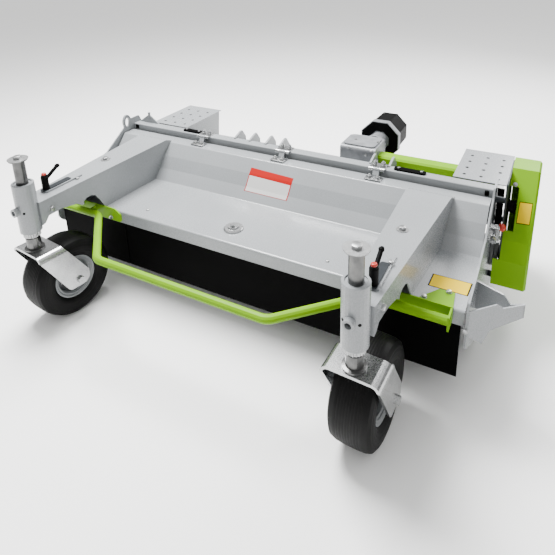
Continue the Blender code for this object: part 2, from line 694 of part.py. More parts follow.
def tyre(side, wheel):
    """The tyre as a closed ring on the rim, with beads, sidewalls and round shoulders."""
    seat, flange, half = RIM_SEAT + FIT, RIM_FLANGE + 0.0005, TYRE_HALF
    crown = TYRE_RADIUS
    right = [(seat, RIM_HALF - 0.0055), (flange, RIM_HALF - 0.0055), (flange + 0.0007, RIM_HALF + 0.0005),
             (flange + 0.010, half - 0.0045), (flange + 0.018, half - 0.002), (crown - 0.034, half),
             (crown - 0.017, half - 0.002), (crown - 0.006, half - 0.0085), (crown - 0.0015, half - 0.0225),
             (crown, half - 0.0425)]
    profile = right + [(r, -a) for r, a in reversed(right)]
    piece("tyre_" + side, turned(profile, "X", wheel["place"], FINE, ring=True), "tyre_rubber", wheel)


def caster(side, hood):
    """One caster under its arm, with a swivel axis and a wheel axis."""
    x = SIDES[side] * CASTER_X
    swivel = pivot("caster_axis_" + side, (x, 0, FORK_TOP), hood, math.radians(PARKED_SWIVEL_DEG[side]))
    wheel = pivot("wheel_axis_" + side, (x, TRAIL, TYRE_RADIUS), swivel)
    stem(side, swivel)
    fork(side, swivel)
    rim(side, wheel)
    tyre(side, wheel)


def side_plate(side, deck):
    """A side plate with its rotor bearing; the left one also carries the lifting eye."""
    rail, rear = RAIL_TOP, RAIL_Y + RAIL_DEPTH
    outline = [(LIP_Y, PAN_Z + 0.0325), (LIP_Y - 0.011, PAN_Z + 0.0105), (LIP_Y - 0.011, 0.235), (LIP_Y + 0.002, 0.215),
               (0.430, 0.112), (0.520, 0.050), (0.560, 0.040), (0.960, 0.040), (1.005, 0.070), (1.015, 0.120),
               (1.100, 0.200), (SKIRT_Y + 0.015, 0.215), (SKIRT_Y + 0.015, 0.305), (SLOPE_FOOT[0] + 0.008, 0.385),
               (rear + 0.010, rail - 0.0055), (rear - 0.005, rail + 0.0285), (RAIL_Y - 0.046, rail + 0.0285),
               (RAIL_Y - 0.062, rail - 0.0015), (0.560, 0.408), (0.450, 0.385)]
    radii = [0.006, 0.006, 0.008, 0.010, 0.04, 0.02, 0.02, 0.020, 0.020, 0.010, 0.02, 0.008, 0.02, 0.03, 0.004, 0.008,
             0.008, 0.008, 0.03, 0.03]
    item = prism(filleted(outline, radii), "X", DECK_HALF, PLATE_OUT)
    at = (0, ROTOR_Y, ROTOR_Z)
    if side == "left":
        eye_y, eye_z = RAIL_Y - 0.040, rail + 0.0165
        turns = [2 * math.pi * k / 24 for k in range(24)]
        outer = [(eye_y + 0.024 * math.cos(t), eye_z + 0.036 * math.sin(t)) for t in turns]
        inner = [(eye_y + 0.013 * math.cos(t), eye_z + 0.022 * math.sin(t)) for t in turns]
        item = unite(item, prism(outer, "X", DECK_HALF, PLATE_OUT + 0.004))
        item = cut(item, prism(inner, "X", DECK_HALF - 0.01, PLATE_OUT + 0.01))
        item = unite(item, rod("X", (0, 0.570, 0.398), 0.009, DECK_HALF + 0.002, PLATE_OUT + 0.010, 16))
    bore = ROTOR_SHAFT + RUN
    item = cut(item, rod("X", at, ROTOR_SHAFT + 0.007, DECK_HALF - 0.01, PLATE_OUT + 0.01))
    root = PLATE_OUT - 0.0005
    flange = [(bore, root), (BEARING_FLANGE, root), (BEARING_FLANGE, root + 0.0105), (BEARING_RADIUS, root + 0.0125)]
    if side == "left":
        flange += [(BEARING_RADIUS, root + 0.036), (0, root + 0.036), (0, root + 0.0315), (bore, root + 0.0315)]
    else:
        flange += [(BEARING_RADIUS, root + 0.024), (bore, root + 0.024)]
    item = unite(item, turned(flange, "X", at))
    piece("side_plate_" + side, on_side(item, side), "grey_paint", deck)


def rotor(carrier):
    """The rotor: tube, stub shafts and hammer knives in two spirals."""
    end = DECK_HALF - ROTOR_SIDE_GAP
    at = (0, ROTOR_Y, ROTOR_Z)
    left, right = -PLATE_OUT - 0.030, PLATE_OUT + 0.0295
    item = turned([(0, left), (ROTOR_SHAFT, left), (ROTOR_SHAFT, -end), (ROTOR_TUBE, -end), (ROTOR_TUBE, end),
                   (ROTOR_SHAFT, end), (ROTOR_SHAFT, right), (0, right)], "X", at)
    tip = ROTOR_TIP
    lug = [(-0.009, ROTOR_TUBE - 0.006), (0.009, ROTOR_TUBE - 0.006), (0.009, tip - 0.060), (-0.009, tip - 0.060)]
    knife = [(-0.006, tip - 0.075), (0.006, tip - 0.075), (0.008, tip - 0.030), (0.016, tip - 0.014),
             (0.014, tip - 0.002), (-0.010, tip - 0.001), (-0.008, tip - 0.030)]
    pitch = 2 * (end - 0.035) / (FLAIL_COUNT - 1)
    for k in range(FLAIL_COUNT):
        x = -end + 0.035 + pitch * k
        turn = math.radians(90 * k + 18 * (k // 2))
        blade = unite(prism(lug, "X", x - 0.010, x + 0.010), prism(knife, "X", x - FLAIL_HALF, x + FLAIL_HALF))
        blade.data.transform(Matrix.Translation(at) @ Matrix.Rotation(turn, 4, "X"))
        unite(item, blade)
    piece("rotor", item, "bare_steel", carrier)


def roller(carrier):
    """The ground roller behind the rotor, with its stub shafts."""
    end = DECK_HALF - ROLLER_SIDE_GAP
    shaft = PLATE_OUT + ROLLER_BRACKET + 0.0005
    profile = [(0, shaft), (ROLLER_SHAFT, shaft), (ROLLER_SHAFT, end), (ROLLER_RADIUS - 0.003, end),
               (ROLLER_RADIUS, end - 0.003)]
    profile = profile + [(r, -a) for r, a in reversed(profile)]
    piece("roller", turned(profile, "X", (0, ROLLER_Y, ROLLER_RADIUS), FINE, ring=True), "bare_steel", carrier)


def roller_bracket(side, deck):
    """The plate outside a side plate that carries the roller's stub shaft."""
    y, z = ROLLER_Y, ROLLER_RADIUS
    outline = [(y - 0.080, z + 0.180), (y - 0.080, z + 0.085), (y - 0.045, z - 0.005), (y - 0.025, z - 0.035),
               (y + 0.025, z - 0.035), (y + 0.043, z - 0.005), (y + 0.043, z + 0.180)]
    low = PLATE_OUT + FIT
    item = prism(rounded(outline, 0.010), "X", low, low + ROLLER_BRACKET)
    item = cut(item, rod("X", (0, y, z), ROLLER_SHAFT + RUN, low - 0.01, low + 0.02, 24))
    piece("roller_bracket_" + side, on_side(item, side), "grey_paint", deck)


def step_plate(side, deck):
    """A perforated step plate on gussets that stand on the sloping back."""
    low_x, high_x = STEPS[side]
    low_y, high_y = STEP_Y
    under = STEP_TOP - STEP_SHEET
    item = block((low_x, low_y, under), (high_x, high_y, STEP_TOP))
    middle_x, middle_y = (low_x + high_x) / 2, low_y + 0.128
    for i in (-1, 0, 1):
        for j in (-1.5, -0.5, 0.5, 1.5):
            x, y = middle_x + i * STEP_HOLE_PITCH[0], middle_y + j * STEP_HOLE_PITCH[1]
            cut(item, rod("Z", (x, y, under), STEP_HOLE, -0.01, 0.02, 16))
    near, far = low_y + 0.001, SLOPE_FOOT[0] - 0.004
    gusset = [(near, STEP_TOP - 0.001), (near, slope_z(near) + 2 * FIT), (far, slope_z(far) + 2 * FIT),
              (far + 0.014, STEP_TOP - 0.006), (far + 0.014, STEP_TOP - 0.001)]
    second = high_x - STEP_SHEET if side == "left" else SHELL_HALF - 0.006
    for x in (low_x, second):
        item = unite(item, prism(gusset, "X", x, x + STEP_SHEET))
    if side == "right":
        item = cut(item, block((low_x - 0.01, COVER_Y[0] - 0.006, 0.35), (SHELL_HALF + 0.001, COVER_Y[1] + 0.006, under - 0.003)))
        item = unite(item, block((high_x - STEP_SHEET, low_y, under - 0.012), (high_x, high_y, STEP_TOP - 0.001)))
    piece("step_" + side, item, "grey_paint", deck)


def octagon(radius):
    """An eight-sided outline about the drive shaft's axis, flat side down."""
    turns = [2 * math.pi * (k + 0.5) / 8 for k in range(8)]
    return [(PTO_X + radius * math.cos(t), PTO_Z + radius * math.sin(t)) for t in turns]


def gearbox(deck):
    """The cast gearbox with its top cover, rear neck and eight-sided guard flange."""
    low_x, high_x = GEARBOX_X
    low_y, high_y = GEARBOX_Y
    top = GEARBOX_TOP
    outline = filleted([(low_y, slope_z(low_y) + 2 * FIT), (high_y, slope_z(high_y) + 2 * FIT), (high_y, top - 0.006),
                        (low_y, top - 0.006)], [0, 0, 0.015, 0.015])
    item = prism(outline, "X", low_x, high_x)
    lid = rounded([(low_x + 0.008, low_y + 0.010), (high_x - 0.008, low_y + 0.010), (high_x - 0.008, high_y - 0.014),
                   (low_x + 0.008, high_y - 0.014)], 0.018)
    item = unite(item, prism(lid, "Z", top - 0.010, top))
    web = PTO_FLANGE_Y + 0.006
    at = (PTO_X, 0, PTO_Z)
    neck = turned([(0, high_y - 0.010), (0.044, high_y - 0.010), (0.044, high_y + 0.010), (0.038, high_y + 0.018),
                   (0.038, web - 0.001), (0, web - 0.001)], "Y", at)
    plate = prism(octagon(PTO_FLANGE_RADIUS), "Y", PTO_FLANGE_Y, PTO_FLANGE_Y + 0.030)
    recess = prism(octagon(PTO_FLANGE_RADIUS - PTO_FLANGE_WALL), "Y", web, PTO_FLANGE_Y + 0.05)
    item = unite(item, neck, cut(plate, recess))
    item = cut(item, rod("Y", at, PTO_SHAFT_RADIUS + RUN, web - 0.040, web + 0.02))
    piece("gearbox", item, "cast_metal", deck)


def pto_guard(deck):
    """The eight-sided plastic guard round the drive shaft's stub."""
    radius = PTO_FLANGE_RADIUS - PTO_FLANGE_WALL - 2 * FIT
    low, high = PTO_FLANGE_Y + 0.006 + FIT, PTO_GUARD_END
    outer = prism(octagon(radius), "Y", low, high)
    inner = prism(octagon(radius - PTO_GUARD_WALL), "Y", low - 0.01, high + 0.01)
    piece("pto_guard", cut(outer, inner), "black_plastic", deck)


def pto_shaft(carrier):
    """The splined input shaft inside the guard."""
    start = PTO_FLANGE_Y - 0.033
    outline = []
    for k in range(PTO_SPLINES * 4):
        radius = PTO_SHAFT_RADIUS if k % 4 in (0, 1) else PTO_SHAFT_RADIUS - 0.003
        turn = 2 * math.pi * k / (PTO_SPLINES * 4)
        outline.append((PTO_X + radius * math.cos(turn), PTO_Z + radius * math.sin(turn)))
    item = prism(outline, "Y", PTO_FLANGE_Y + 0.020, PTO_SHAFT_END)
    item = unite(item, rod("Y", (PTO_X, 0, PTO_Z), PTO_SHAFT_RADIUS, start, PTO_FLANGE_Y + 0.022))
    piece("pto_shaft", item, "bare_steel", carrier)


def shaft_cover(deck):
    """The folded cover over the cross shaft, from the gearbox to the side plate."""
    low, high = COVER_Y
    chamfer = 0.007
    path = [(low, slope_z(low) + 2 * FIT), (low, COVER_TOP - chamfer), (low + chamfer, COVER_TOP),
            (high - chamfer, COVER_TOP), (high, COVER_TOP - chamfer), (high, slope_z(high - COVER_WALL) + 2 * FIT)]
    item = prism(bent_sheet(path, COVER_WALL), "X", GEARBOX_X[1] + FIT, SHELL_HALF - 0.002)
    piece("shaft_cover", item, "green_paint", deck)


def belt_plate(deck):
    """The back plate of the belt drive, on three spacers from the right side plate."""
    outline = [(0.700, 0.500), (0.715, 0.5415), (0.760, 0.535), (0.955, 0.535), (0.965, 0.500), (0.930, 0.200),
               (0.880, 0.135), (0.760, 0.135), (0.712, 0.200), (0.700, 0.340)]
    item = prism(rounded(outline, 0.008), "X", BELT_PLATE_X, BELT_PLATE_X + BELT_PLATE)
    for y, z in ((0.740, 0.470), (0.920, 0.300), (0.760, 0.160)):
        item = unite(item, rod("X", (0, y, z), 0.011, PLATE_OUT + FIT, BELT_PLATE_X + 0.001, 16))
    item = cut(item, rod("X", (0, ROTOR_Y, ROTOR_Z), 0.030, BELT_PLATE_X - 0.01, BELT_PLATE_X + 0.02))
    piece("belt_plate", item, "grey_paint", deck)


def belt_cover(deck):
    """The folded belt cover: a tall box open to the deck, its front cut out above the fold."""
    outline = [(0.857, 0.5445), (0.959, 0.5445), (0.985, 0.505), (0.975, 0.330), (0.930, 0.170), (0.880, 0.125),
               (0.755, 0.125), (0.700, 0.161), (0.690, 0.269), (0.715, 0.336)]
    wall, chamfer = BELT_COVER_WALL, 0.007
    low, high = BELT_COVER_X - 0.022, BELT_COVER_X + BELT_COVER_DEPTH
    shell = lofted([(outline, low), (outline, high - chamfer), (moved_loop(outline, -chamfer), high)], "X")
    inner = moved_loop(outline, -wall)
    hollow = lofted([(inner, low - 0.01), (inner, high - chamfer - wall / 2),
                     (moved_loop(outline, -chamfer - wall / 2), high - wall)], "X")
    item = cut(shell, hollow)
    item = cut(item, block((low - 0.02, 0.60, 0.269), (BELT_COVER_X, 1.05, 0.62)))
    item = cut(item, block((low - 0.02, 0.755, 0.05), (BELT_COVER_X, 1.05, 0.275)))
    item = cut(item, block((low - 0.02, 0.60, 0.362), (BELT_COVER_X + 0.030, 0.850, 0.490)))
    piece("belt_cover", item, "green_paint", deck)


def belt_idler(deck):
    """The idler pulley behind the belt cover's cut-out."""
    x = BELT_COVER_X
    item = turned([(0, x), (0.012, x), (0.012, x + 0.003), (0.024, x + 0.003), (0.024, x + 0.006), (0.021, x + 0.008),
                   (0.021, x + 0.020), (0.024, x + 0.022), (0.024, x + 0.025), (0.010, x + 0.025), (0.010, x + 0.029),
                   (0, x + 0.029)], "X", (0, 0.795, 0.425), 24)
    piece("belt_idler", item, "black_plastic", deck)


def guard_bracket(deck):
    """The bent guard outside the right side plate: a slanted front strip and its back stay."""
    x = PLATE_OUT + FIT
    far = x + 0.1347
    front = [(x, 0.262), (x + 0.0137, 0.2495), (x + 0.0387, 0.2328), (x + 0.0547, 0.2758), (far, 0.310),
             (far, 0.3528), (x + 0.0807, 0.3463), (x + 0.0647, 0.3605), (x, 0.3442)]
    back = [(x, 0.250), (x + 0.0715, 0.270), (far, 0.310), (far, 0.350), (x + 0.0965, 0.325), (x + 0.0765, 0.346),
            (x, 0.346)]
    item = prism(front, "Y", 0.0, 0.006)
    stay = prism(back, "Y", 0.0, 0.006)
    for vertex in item.data.vertices:
        vertex.co.y += LIP_Y + (vertex.co.x - x) * 0.636
    for vertex in stay.data.vertices:
        vertex.co.y += LIP_Y + 0.1445 - (vertex.co.x - x) * 0.409
    tip = block((far - 0.007, LIP_Y + 0.0835, 0.313), (far, LIP_Y + 0.0950, 0.349))
    piece("guard_bracket", unite(item, stay, tip), "grey_paint", deck)


def tensioner(deck):
    """The belt tensioner on the right side plate: lug, rod and adjusting nut."""
    x = PLATE_OUT + FIT
    y, z = 0.665, 0.362
    lug = block((x, y, z), (x + 0.028, y + 0.032, z + 0.036))
    stay = rod("Y", (x + 0.015, 0, z + 0.018), 0.006, y - 0.055, y + 0.002, 16)
    nut = rod("Y", (x + 0.015, 0, z + 0.018), 0.011, y - 0.050, y - 0.040, 6)
    plate = block((x, y - 0.030, z + 0.012), (x + 0.022, y - 0.025, z + 0.026))
    piece("tensioner", unite(lug, stay, nut, plate), "zinc_plate", deck)


def rubber_strap(side, deck):
    """The rubber strip on top of the rail that stops the opened hood."""
    low_x, high_x = {"left": (HINGE_X[0] - 0.129, HINGE_X[0] - HINGE_HALF - 0.002), "right": (0.462, 0.5805)}[side]
    low = RAIL_TOP + FIT
    outline = rounded([(low_x, RAIL_Y + 0.010), (high_x, RAIL_Y + 0.010), (high_x, RAIL_Y + 0.036),
                       (low_x, RAIL_Y + 0.036)], 0.008)
    piece("rubber_strap_" + side, prism(outline, "Z", low, low + 0.006), "black_rubber", deck)


def rear_flap(deck):
    """The rubber flap on the outside of the rear skirt."""
    low = SKIRT_Y + FIT
    item = block((-DECK_HALF + 0.022, low, SKIRT_FOOT - 0.065), (DECK_HALF - 0.022, low + 0.005, SKIRT_FOOT + 0.055))
    piece("rear_flap", item, "black_rubber", deck)


def stand_on_origin(deck):
    """Moves the machine so that the origin is the bottom centre of its box."""
    bpy.context.view_layer.update()
    corners = [item.matrix_world @ vertex.co for item in bpy.data.objects if item.type == "MESH"
               for vertex in item.data.vertices]
    low = [min(corner[i] for corner in corners) for i in range(3)]
    high = [max(corner[i] for corner in corners) for i in range(3)]
    deck.location = (-(low[0] + high[0]) / 2, -(low[1] + high[1]) / 2, -low[2])


def build():
    """Models the whole machine."""
    clear_scene()
    deck = pivot("deck", (0, 0, 0))
    hood = pivot("hood_axis", (0, HINGE_Y, HINGE_Z), deck)
    front_hood(hood)
    rear_shell(deck)
    for side in SIDES:
        arm(side, hood)
        caster_tube(side, hood)
        clamp_lever(side, hood)
        caster(side, hood)
        side_plate(side, deck)
        step_plate(side, deck)
        roller_bracket(side, deck)
        rubber_strap(side, deck)
    for name in FLAPS:
        rubber_flap(name, hood)
    for number, x in enumerate(FIN_X, 1):
        hitch_fin(number, x, deck)
    for number, x in enumerate(HINGE_X, 1):
        rear_hinge(number, x, deck)
    pin_plate(deck)
    bumper(hood)
    hood_latch(hood)
    rotor(pivot("rotor_axis", (0, ROTOR_Y, ROTOR_Z), deck))
    roller(pivot("roller_axis", (0, ROLLER_Y, ROLLER_RADIUS), deck))
    pto_shaft(pivot("pto_axis", (PTO_X, PTO_SHAFT_END, PTO_Z), deck))
    for make in (gearbox, pto_guard, shaft_cover, belt_plate, belt_cover, belt_idler, guard_bracket, tensioner,
                 rear_flap):
        make(deck)
    stand_on_origin(deck)


build()
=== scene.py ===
"""Finishes, fasteners, tyres and plates of a front-mounted hammer knife mower.

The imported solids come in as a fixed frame. This script paints them, adds the small hardware that is
seated on them, sets up the studio and leaves the frame's own shapes alone.
"""
import json
import logging
import math
from dataclasses import dataclass, field
from enum import Enum

import bpy
from mathutils import Matrix, Vector
from mathutils.bvhtree import BVHTree

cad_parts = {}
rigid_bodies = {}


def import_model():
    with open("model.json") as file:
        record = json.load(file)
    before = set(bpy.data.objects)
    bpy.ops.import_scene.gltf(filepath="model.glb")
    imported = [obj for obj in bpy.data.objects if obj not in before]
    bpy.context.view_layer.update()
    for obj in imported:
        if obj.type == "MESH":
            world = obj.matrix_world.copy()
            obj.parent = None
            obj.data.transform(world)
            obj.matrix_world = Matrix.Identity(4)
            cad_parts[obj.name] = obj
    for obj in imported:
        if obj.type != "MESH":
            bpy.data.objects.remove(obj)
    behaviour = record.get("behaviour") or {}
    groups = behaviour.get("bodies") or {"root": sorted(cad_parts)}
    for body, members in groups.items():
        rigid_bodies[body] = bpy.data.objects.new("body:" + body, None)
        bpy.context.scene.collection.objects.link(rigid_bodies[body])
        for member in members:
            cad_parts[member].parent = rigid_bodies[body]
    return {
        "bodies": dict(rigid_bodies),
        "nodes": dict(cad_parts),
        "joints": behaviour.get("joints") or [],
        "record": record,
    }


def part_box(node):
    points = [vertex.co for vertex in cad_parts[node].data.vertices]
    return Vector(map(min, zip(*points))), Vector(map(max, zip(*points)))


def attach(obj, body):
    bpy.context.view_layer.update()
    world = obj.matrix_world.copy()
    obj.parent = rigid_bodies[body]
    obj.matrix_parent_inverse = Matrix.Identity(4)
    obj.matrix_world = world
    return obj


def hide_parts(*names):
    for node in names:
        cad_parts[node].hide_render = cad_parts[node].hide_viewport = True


LOG = logging.getLogger("mower")
MM = 0.001
SIDES = ("left", "right")
UP, DOWN = Vector((0, 0, 1)), Vector((0, 0, -1))
RIGHT, REAR = Vector((1, 0, 0)), Vector((0, 1, 0))
# How far outside a solid a ray starts that looks for a seat on it.
NEAR, CLEAR, FAR, ABOVE = 0.05, 0.1, 0.2, 1.0
WASHER_HEIGHT, WASHER_GAP = 1.8 * MM, 0.1 * MM
# Of a turned blank: how much of its radius counts as its rim, and how much of its height a recess takes.
RIM_SHARE, RECESS_SHARE = 0.93, 0.6
# The parts of the wide and the fine noise that are drawn out to full contrast, and a lacquer's roughness.
CLOUD_SPAN, GRAIN_SPAN, COAT_ROUGHNESS = (0.32, 0.68), (0.3, 0.7), 0.12

Pixel = tuple[float, float]
Piece, Tree, Socket = bpy.types.Object, bpy.types.NodeTree, bpy.types.NodeSocket


# Colour and nodes

def linear(code: str) -> tuple[float, float, float, float]:
    """Turns an sRGB hex colour into Blender's linear one.

    Args:
        code: six hex digits, with or without a leading hash.

    Returns:
        Red, green, blue and alpha, from 0 to 1.
    """
    digits = code.lstrip("#")
    parts = [int(digits[k:k + 2], 16) / 255 for k in (0, 2, 4)]
    red, green, blue = [p / 12.92 if p <= 0.04045 else ((p + 0.055) / 1.055) ** 2.4 for p in parts]
    return red, green, blue, 1.0


def add_node(tree: Tree, kind: str, settings: dict[str, object] | None = None,
             sockets: dict[str | int, object] | None = None) -> bpy.types.Node:
    """Adds one node to a tree.

    Args:
        tree: the material's node tree.
        kind: the node's type name.
        settings: the node's own properties.
        sockets: its inputs by name or number, each a plain value or an output socket to link.

    Returns:
        The new node.
    """
    node = tree.nodes.new(kind)
    for name, value in (settings or {}).items():
        setattr(node, name, value)
    for key, value in (sockets or {}).items():
        if isinstance(value, Socket):
            tree.links.new(value, node.inputs[key])
        else:
            node.inputs[key].default_value = value
    return node


def noise(tree: Tree, place: Socket, grain_mm: float, detail: float, roughness: float) -> Socket:
    """Adds a noise whose grain has a size in millimetres, and returns its output."""
    return add_node(tree, "ShaderNodeTexNoise", None,
                    {"Vector": place, "Scale": 1000 / grain_mm, "Detail": detail,
                     "Roughness": roughness}).outputs["Fac"]


def remapped(tree: Tree, value: Socket, span: tuple[float, float],
             result: tuple[float, float] = (0.0, 1.0)) -> Socket:
    """Adds a node that maps one span of a value onto another, and returns its output."""
    return add_node(tree, "ShaderNodeMapRange", None,
                    {"Value": value, "From Min": span[0], "From Max": span[1],
                     "To Min": result[0], "To Max": result[1]}).outputs["Result"]


def mixed(tree: Tree, share: Socket, first: object, second: object) -> Socket:
    """Adds a mix of two colours, plain or linked, and returns its output."""
    return add_node(tree, "ShaderNodeMix", {"data_type": "RGBA"},
                    {0: share, 6: first, 7: second}).outputs[2]


def calculated(tree: Tree, operation: str, *values: Socket | float) -> Socket:
    """Adds a sum, difference or the like of some values, and returns its output."""
    return add_node(tree, "ShaderNodeMath", {"operation": operation}, dict(enumerate(values))).outputs[0]


@dataclass(frozen=True)
class Finish:
    """One surface finish: a shader with mottled colour, uneven gloss and a fine relief.

    Sizes are in millimetres. The relief's stretch draws its grain out along one axis, as a brush or
    a lathe does.
    """

    name: str
    colour: str
    shade: str
    roughness: tuple[float, float]
    metallic: float = 0.0
    coat: float = 0.0
    specular: float = 0.5
    mottle_mm: float = 120.0
    grain_mm: float = 2.0
    relief_mm: float = 0.01
    stretch: tuple[float, float, float] = (1.0, 1.0, 1.0)

    def colour_socket(self, tree: Tree, place: Socket) -> Socket:
        """Mixes the finish's two tones by a wide noise.

        Args:
            tree: the material's node tree.
            place: the piece's own coordinates.

        Returns:
            The colour output.
        """
        cloud = noise(tree, place, self.mottle_mm, detail=4.0, roughness=0.55)
        return mixed(tree, remapped(tree, cloud, CLOUD_SPAN), linear(self.colour), linear(self.shade))

    def material(self) -> bpy.types.Material:
        """Builds the finish's material, or returns it if it has been built."""
        if self.name in bpy.data.materials:
            return bpy.data.materials[self.name]
        made = bpy.data.materials.new(self.name)
        made.use_nodes = True
        tree = made.node_tree
        tree.nodes.clear()
        place = add_node(tree, "ShaderNodeTexCoord").outputs["Object"]
        drawn = add_node(tree, "ShaderNodeMapping", None, {"Vector": place, "Scale": self.stretch})
        grain = noise(tree, drawn.outputs["Vector"], self.grain_mm, detail=3.0, roughness=0.6)
        relief = add_node(tree, "ShaderNodeBump", None,
                          {"Height": grain, "Distance": self.relief_mm * MM, "Strength": 1.0})
        shader = add_node(tree, "ShaderNodeBsdfPrincipled", None,
                          {"Base Color": self.colour_socket(tree, place), "Metallic": self.metallic,
                           "Roughness": remapped(tree, grain, GRAIN_SPAN, self.roughness),
                           "Normal": relief.outputs["Normal"],
                           "Coat Weight": self.coat, "Coat Roughness": COAT_ROUGHNESS,
                           "Specular IOR Level": self.specular})
        add_node(tree, "ShaderNodeOutputMaterial", None, {"Surface": shader.outputs["BSDF"]})
        made.diffuse_color = linear(self.colour)
        return made


@dataclass(frozen=True)
class PlateFinish(Finish):
    """A blank vinyl plate: a field with a border, and a band of another colour along its top."""

    border: str = "#202020"
    band: str = "#202020"
    band_share: float = 0.0
    border_share: float = 0.04

    def colour_socket(self, tree: Tree, place: Socket) -> Socket:
        """Draws the border and the band on the plate's own map.

        Args:
            tree: the material's node tree.
            place: the piece's own coordinates, which this finish doesn't use.

        Returns:
            The colour output.
        """
        sheet = add_node(tree, "ShaderNodeTexCoord").outputs["UV"]
        axes = add_node(tree, "ShaderNodeSeparateXYZ", None, {"Vector": sheet}).outputs
        across, along = [calculated(tree, "ABSOLUTE", calculated(tree, "SUBTRACT", axes[axis], 0.5))
                         for axis in "XY"]
        rim = calculated(tree, "GREATER_THAN", calculated(tree, "MAXIMUM", across, along),
                         0.5 - self.border_share)
        top = calculated(tree, "GREATER_THAN", axes["Y"], 1.0 - self.band_share)
        banded = mixed(tree, top, linear(self.colour), linear(self.band))
        return mixed(tree, rim, banded, linear(self.border))


class Coat(Enum):
    """Every finish on the mower."""

    # Powder coat over sheet steel: an even gloss with a faint orange peel.
    GREY_PAINT = Finish("powder_coat_light_grey", "#85888a", "#7f8284", (0.22, 0.32), coat=0.25,
                        mottle_mm=260, grain_mm=2.4, relief_mm=0.012)
    RIM_PAINT = Finish("powder_coat_rim_grey", "#7d8082", "#707375", (0.34, 0.46), coat=0.1,
                       mottle_mm=60, grain_mm=1.6, relief_mm=0.012)
    GREEN_PAINT = Finish("powder_coat_lime_green", "#6d9c00", "#659300", (0.34, 0.44), specular=0.09,
                         mottle_mm=200, grain_mm=2.2, relief_mm=0.012)
    # Bright zinc plating: silvery, with soft cloudy patches left by the bath.
    ZINC = Finish("bright_zinc_plate", "#b4b5b5", "#a0a1a2", (0.22, 0.34), metallic=1.0,
                  mottle_mm=60, grain_mm=3.0, relief_mm=0.003)
    ZINC_BOLT = Finish("zinc_plated_bolt", "#aeafaf", "#979898", (0.3, 0.42), metallic=1.0,
                       mottle_mm=8, grain_mm=1.0, relief_mm=0.004)
    # Turned steel: fine tool marks that run round the stem, drawn coarser than real to show.
    TURNED_STEEL = Finish("turned_steel", "#6b6b6a", "#565656", (0.26, 0.4), metallic=1.0,
                          mottle_mm=30, grain_mm=1.2, relief_mm=0.01, stretch=(0.06, 0.06, 1.0))
    ROLLED_STEEL = Finish("rolled_steel", "#5a5753", "#45423e", (0.42, 0.62), metallic=0.9,
                          mottle_mm=45, grain_mm=2.5, relief_mm=0.03)
    # Blackened strap steel: dark and faintly blue.
    DARK_PLATE = Finish("blackened_strap_steel", "#2a2e32", "#23272a", (0.32, 0.45), metallic=0.6,
                        mottle_mm=30, grain_mm=1.5, relief_mm=0.01)
    # Cast housing under thin silver paint: a sandy skin.
    CASTING = Finish("silver_painted_casting", "#85878a", "#6d6f72", (0.4, 0.58), metallic=0.35,
                     mottle_mm=40, grain_mm=1.8, relief_mm=0.09)
    BLACK_PLASTIC = Finish("moulded_black_plastic", "#020202", "#040404", (0.46, 0.6), specular=0.06,
                           mottle_mm=50, grain_mm=0.9, relief_mm=0.02)
    RED_PLASTIC = Finish("moulded_red_plastic", "#b5230c", "#a01c08", (0.3, 0.4),
                         mottle_mm=20, grain_mm=0.8, relief_mm=0.01)
    # Rubber sheet and tyre rubber: nearly black, dull, with a faint bloom.
    RUBBER_SHEET = Finish("rubber_sheet", "#010101", "#020202", (0.62, 0.76), specular=0.03,
                          mottle_mm=140, grain_mm=1.5, relief_mm=0.03)
    TYRE_RUBBER = Finish("cured_tyre_rubber", "#030303", "#060606", (0.5, 0.66), specular=0.14,
                         mottle_mm=70, grain_mm=1.2, relief_mm=0.03)
    # Painted shade: near black, standing in for the shade inside holes and recesses.
    PAINTED_HOLE_SHADE = Finish("painted_hole_shade", "#020202", "#040404", (0.5, 0.7), specular=0.1,
                       mottle_mm=10, grain_mm=1.0)
    # Printed vinyl without any wording.
    RED_PLATE = PlateFinish("vinyl_red_and_white", "#b9b8b6", "#b9b8b6", (0.4, 0.5), specular=0.1,
                            border="#a01410", band="#a01410", band_share=0.33, border_share=0.02)
    YELLOW_PLATE = PlateFinish("vinyl_yellow", "#d8b600", "#d8b600", (0.4, 0.5), specular=0.05,
                               border="#100e0c", border_share=0.035)
    WHITE_PLATE = PlateFinish("vinyl_white_and_green", "#b8b04a", "#b8b04a", (0.4, 0.5), specular=0.05,
                              border="#3d6404", border_share=0.06)

    def dress(self, piece: Piece) -> Piece:
        """Gives a piece this finish all over and returns the piece."""
        piece.data.materials.clear()
        piece.data.materials.append(self.value.material())
        for face in piece.data.polygons:
            face.material_index = 0
        return piece


SLOT_COATS = {
    "grey_paint": Coat.GREY_PAINT, "green_paint": Coat.GREEN_PAINT, "zinc_plate": Coat.ZINC,
    "bare_steel": Coat.TURNED_STEEL, "cast_metal": Coat.CASTING, "black_plastic": Coat.BLACK_PLASTIC,
    "black_rubber": Coat.RUBBER_SHEET, "tyre_rubber": Coat.TYRE_RUBBER, "rim_paint": Coat.RIM_PAINT,
}
NODE_COATS = {
    "rotor": Coat.ROLLED_STEEL, "roller": Coat.ROLLED_STEEL, "belt_plate": Coat.DARK_PLATE,
    "rear_hinge_1": Coat.ZINC, "rear_hinge_2": Coat.ZINC, "rear_hinge_3": Coat.ZINC,
}


# Where things sit

@dataclass(frozen=True)
class Seat:
    """A spot on a solid: its place and the outward direction there."""

    place: Vector
    outward: Vector

    @property
    def matrix(self) -> Matrix:
        """Turns a piece modelled on the origin, facing +Z, onto the seat."""
        turn = UP.rotation_difference(self.outward).to_matrix().to_4x4()
        return Matrix.Translation(self.place) @ turn


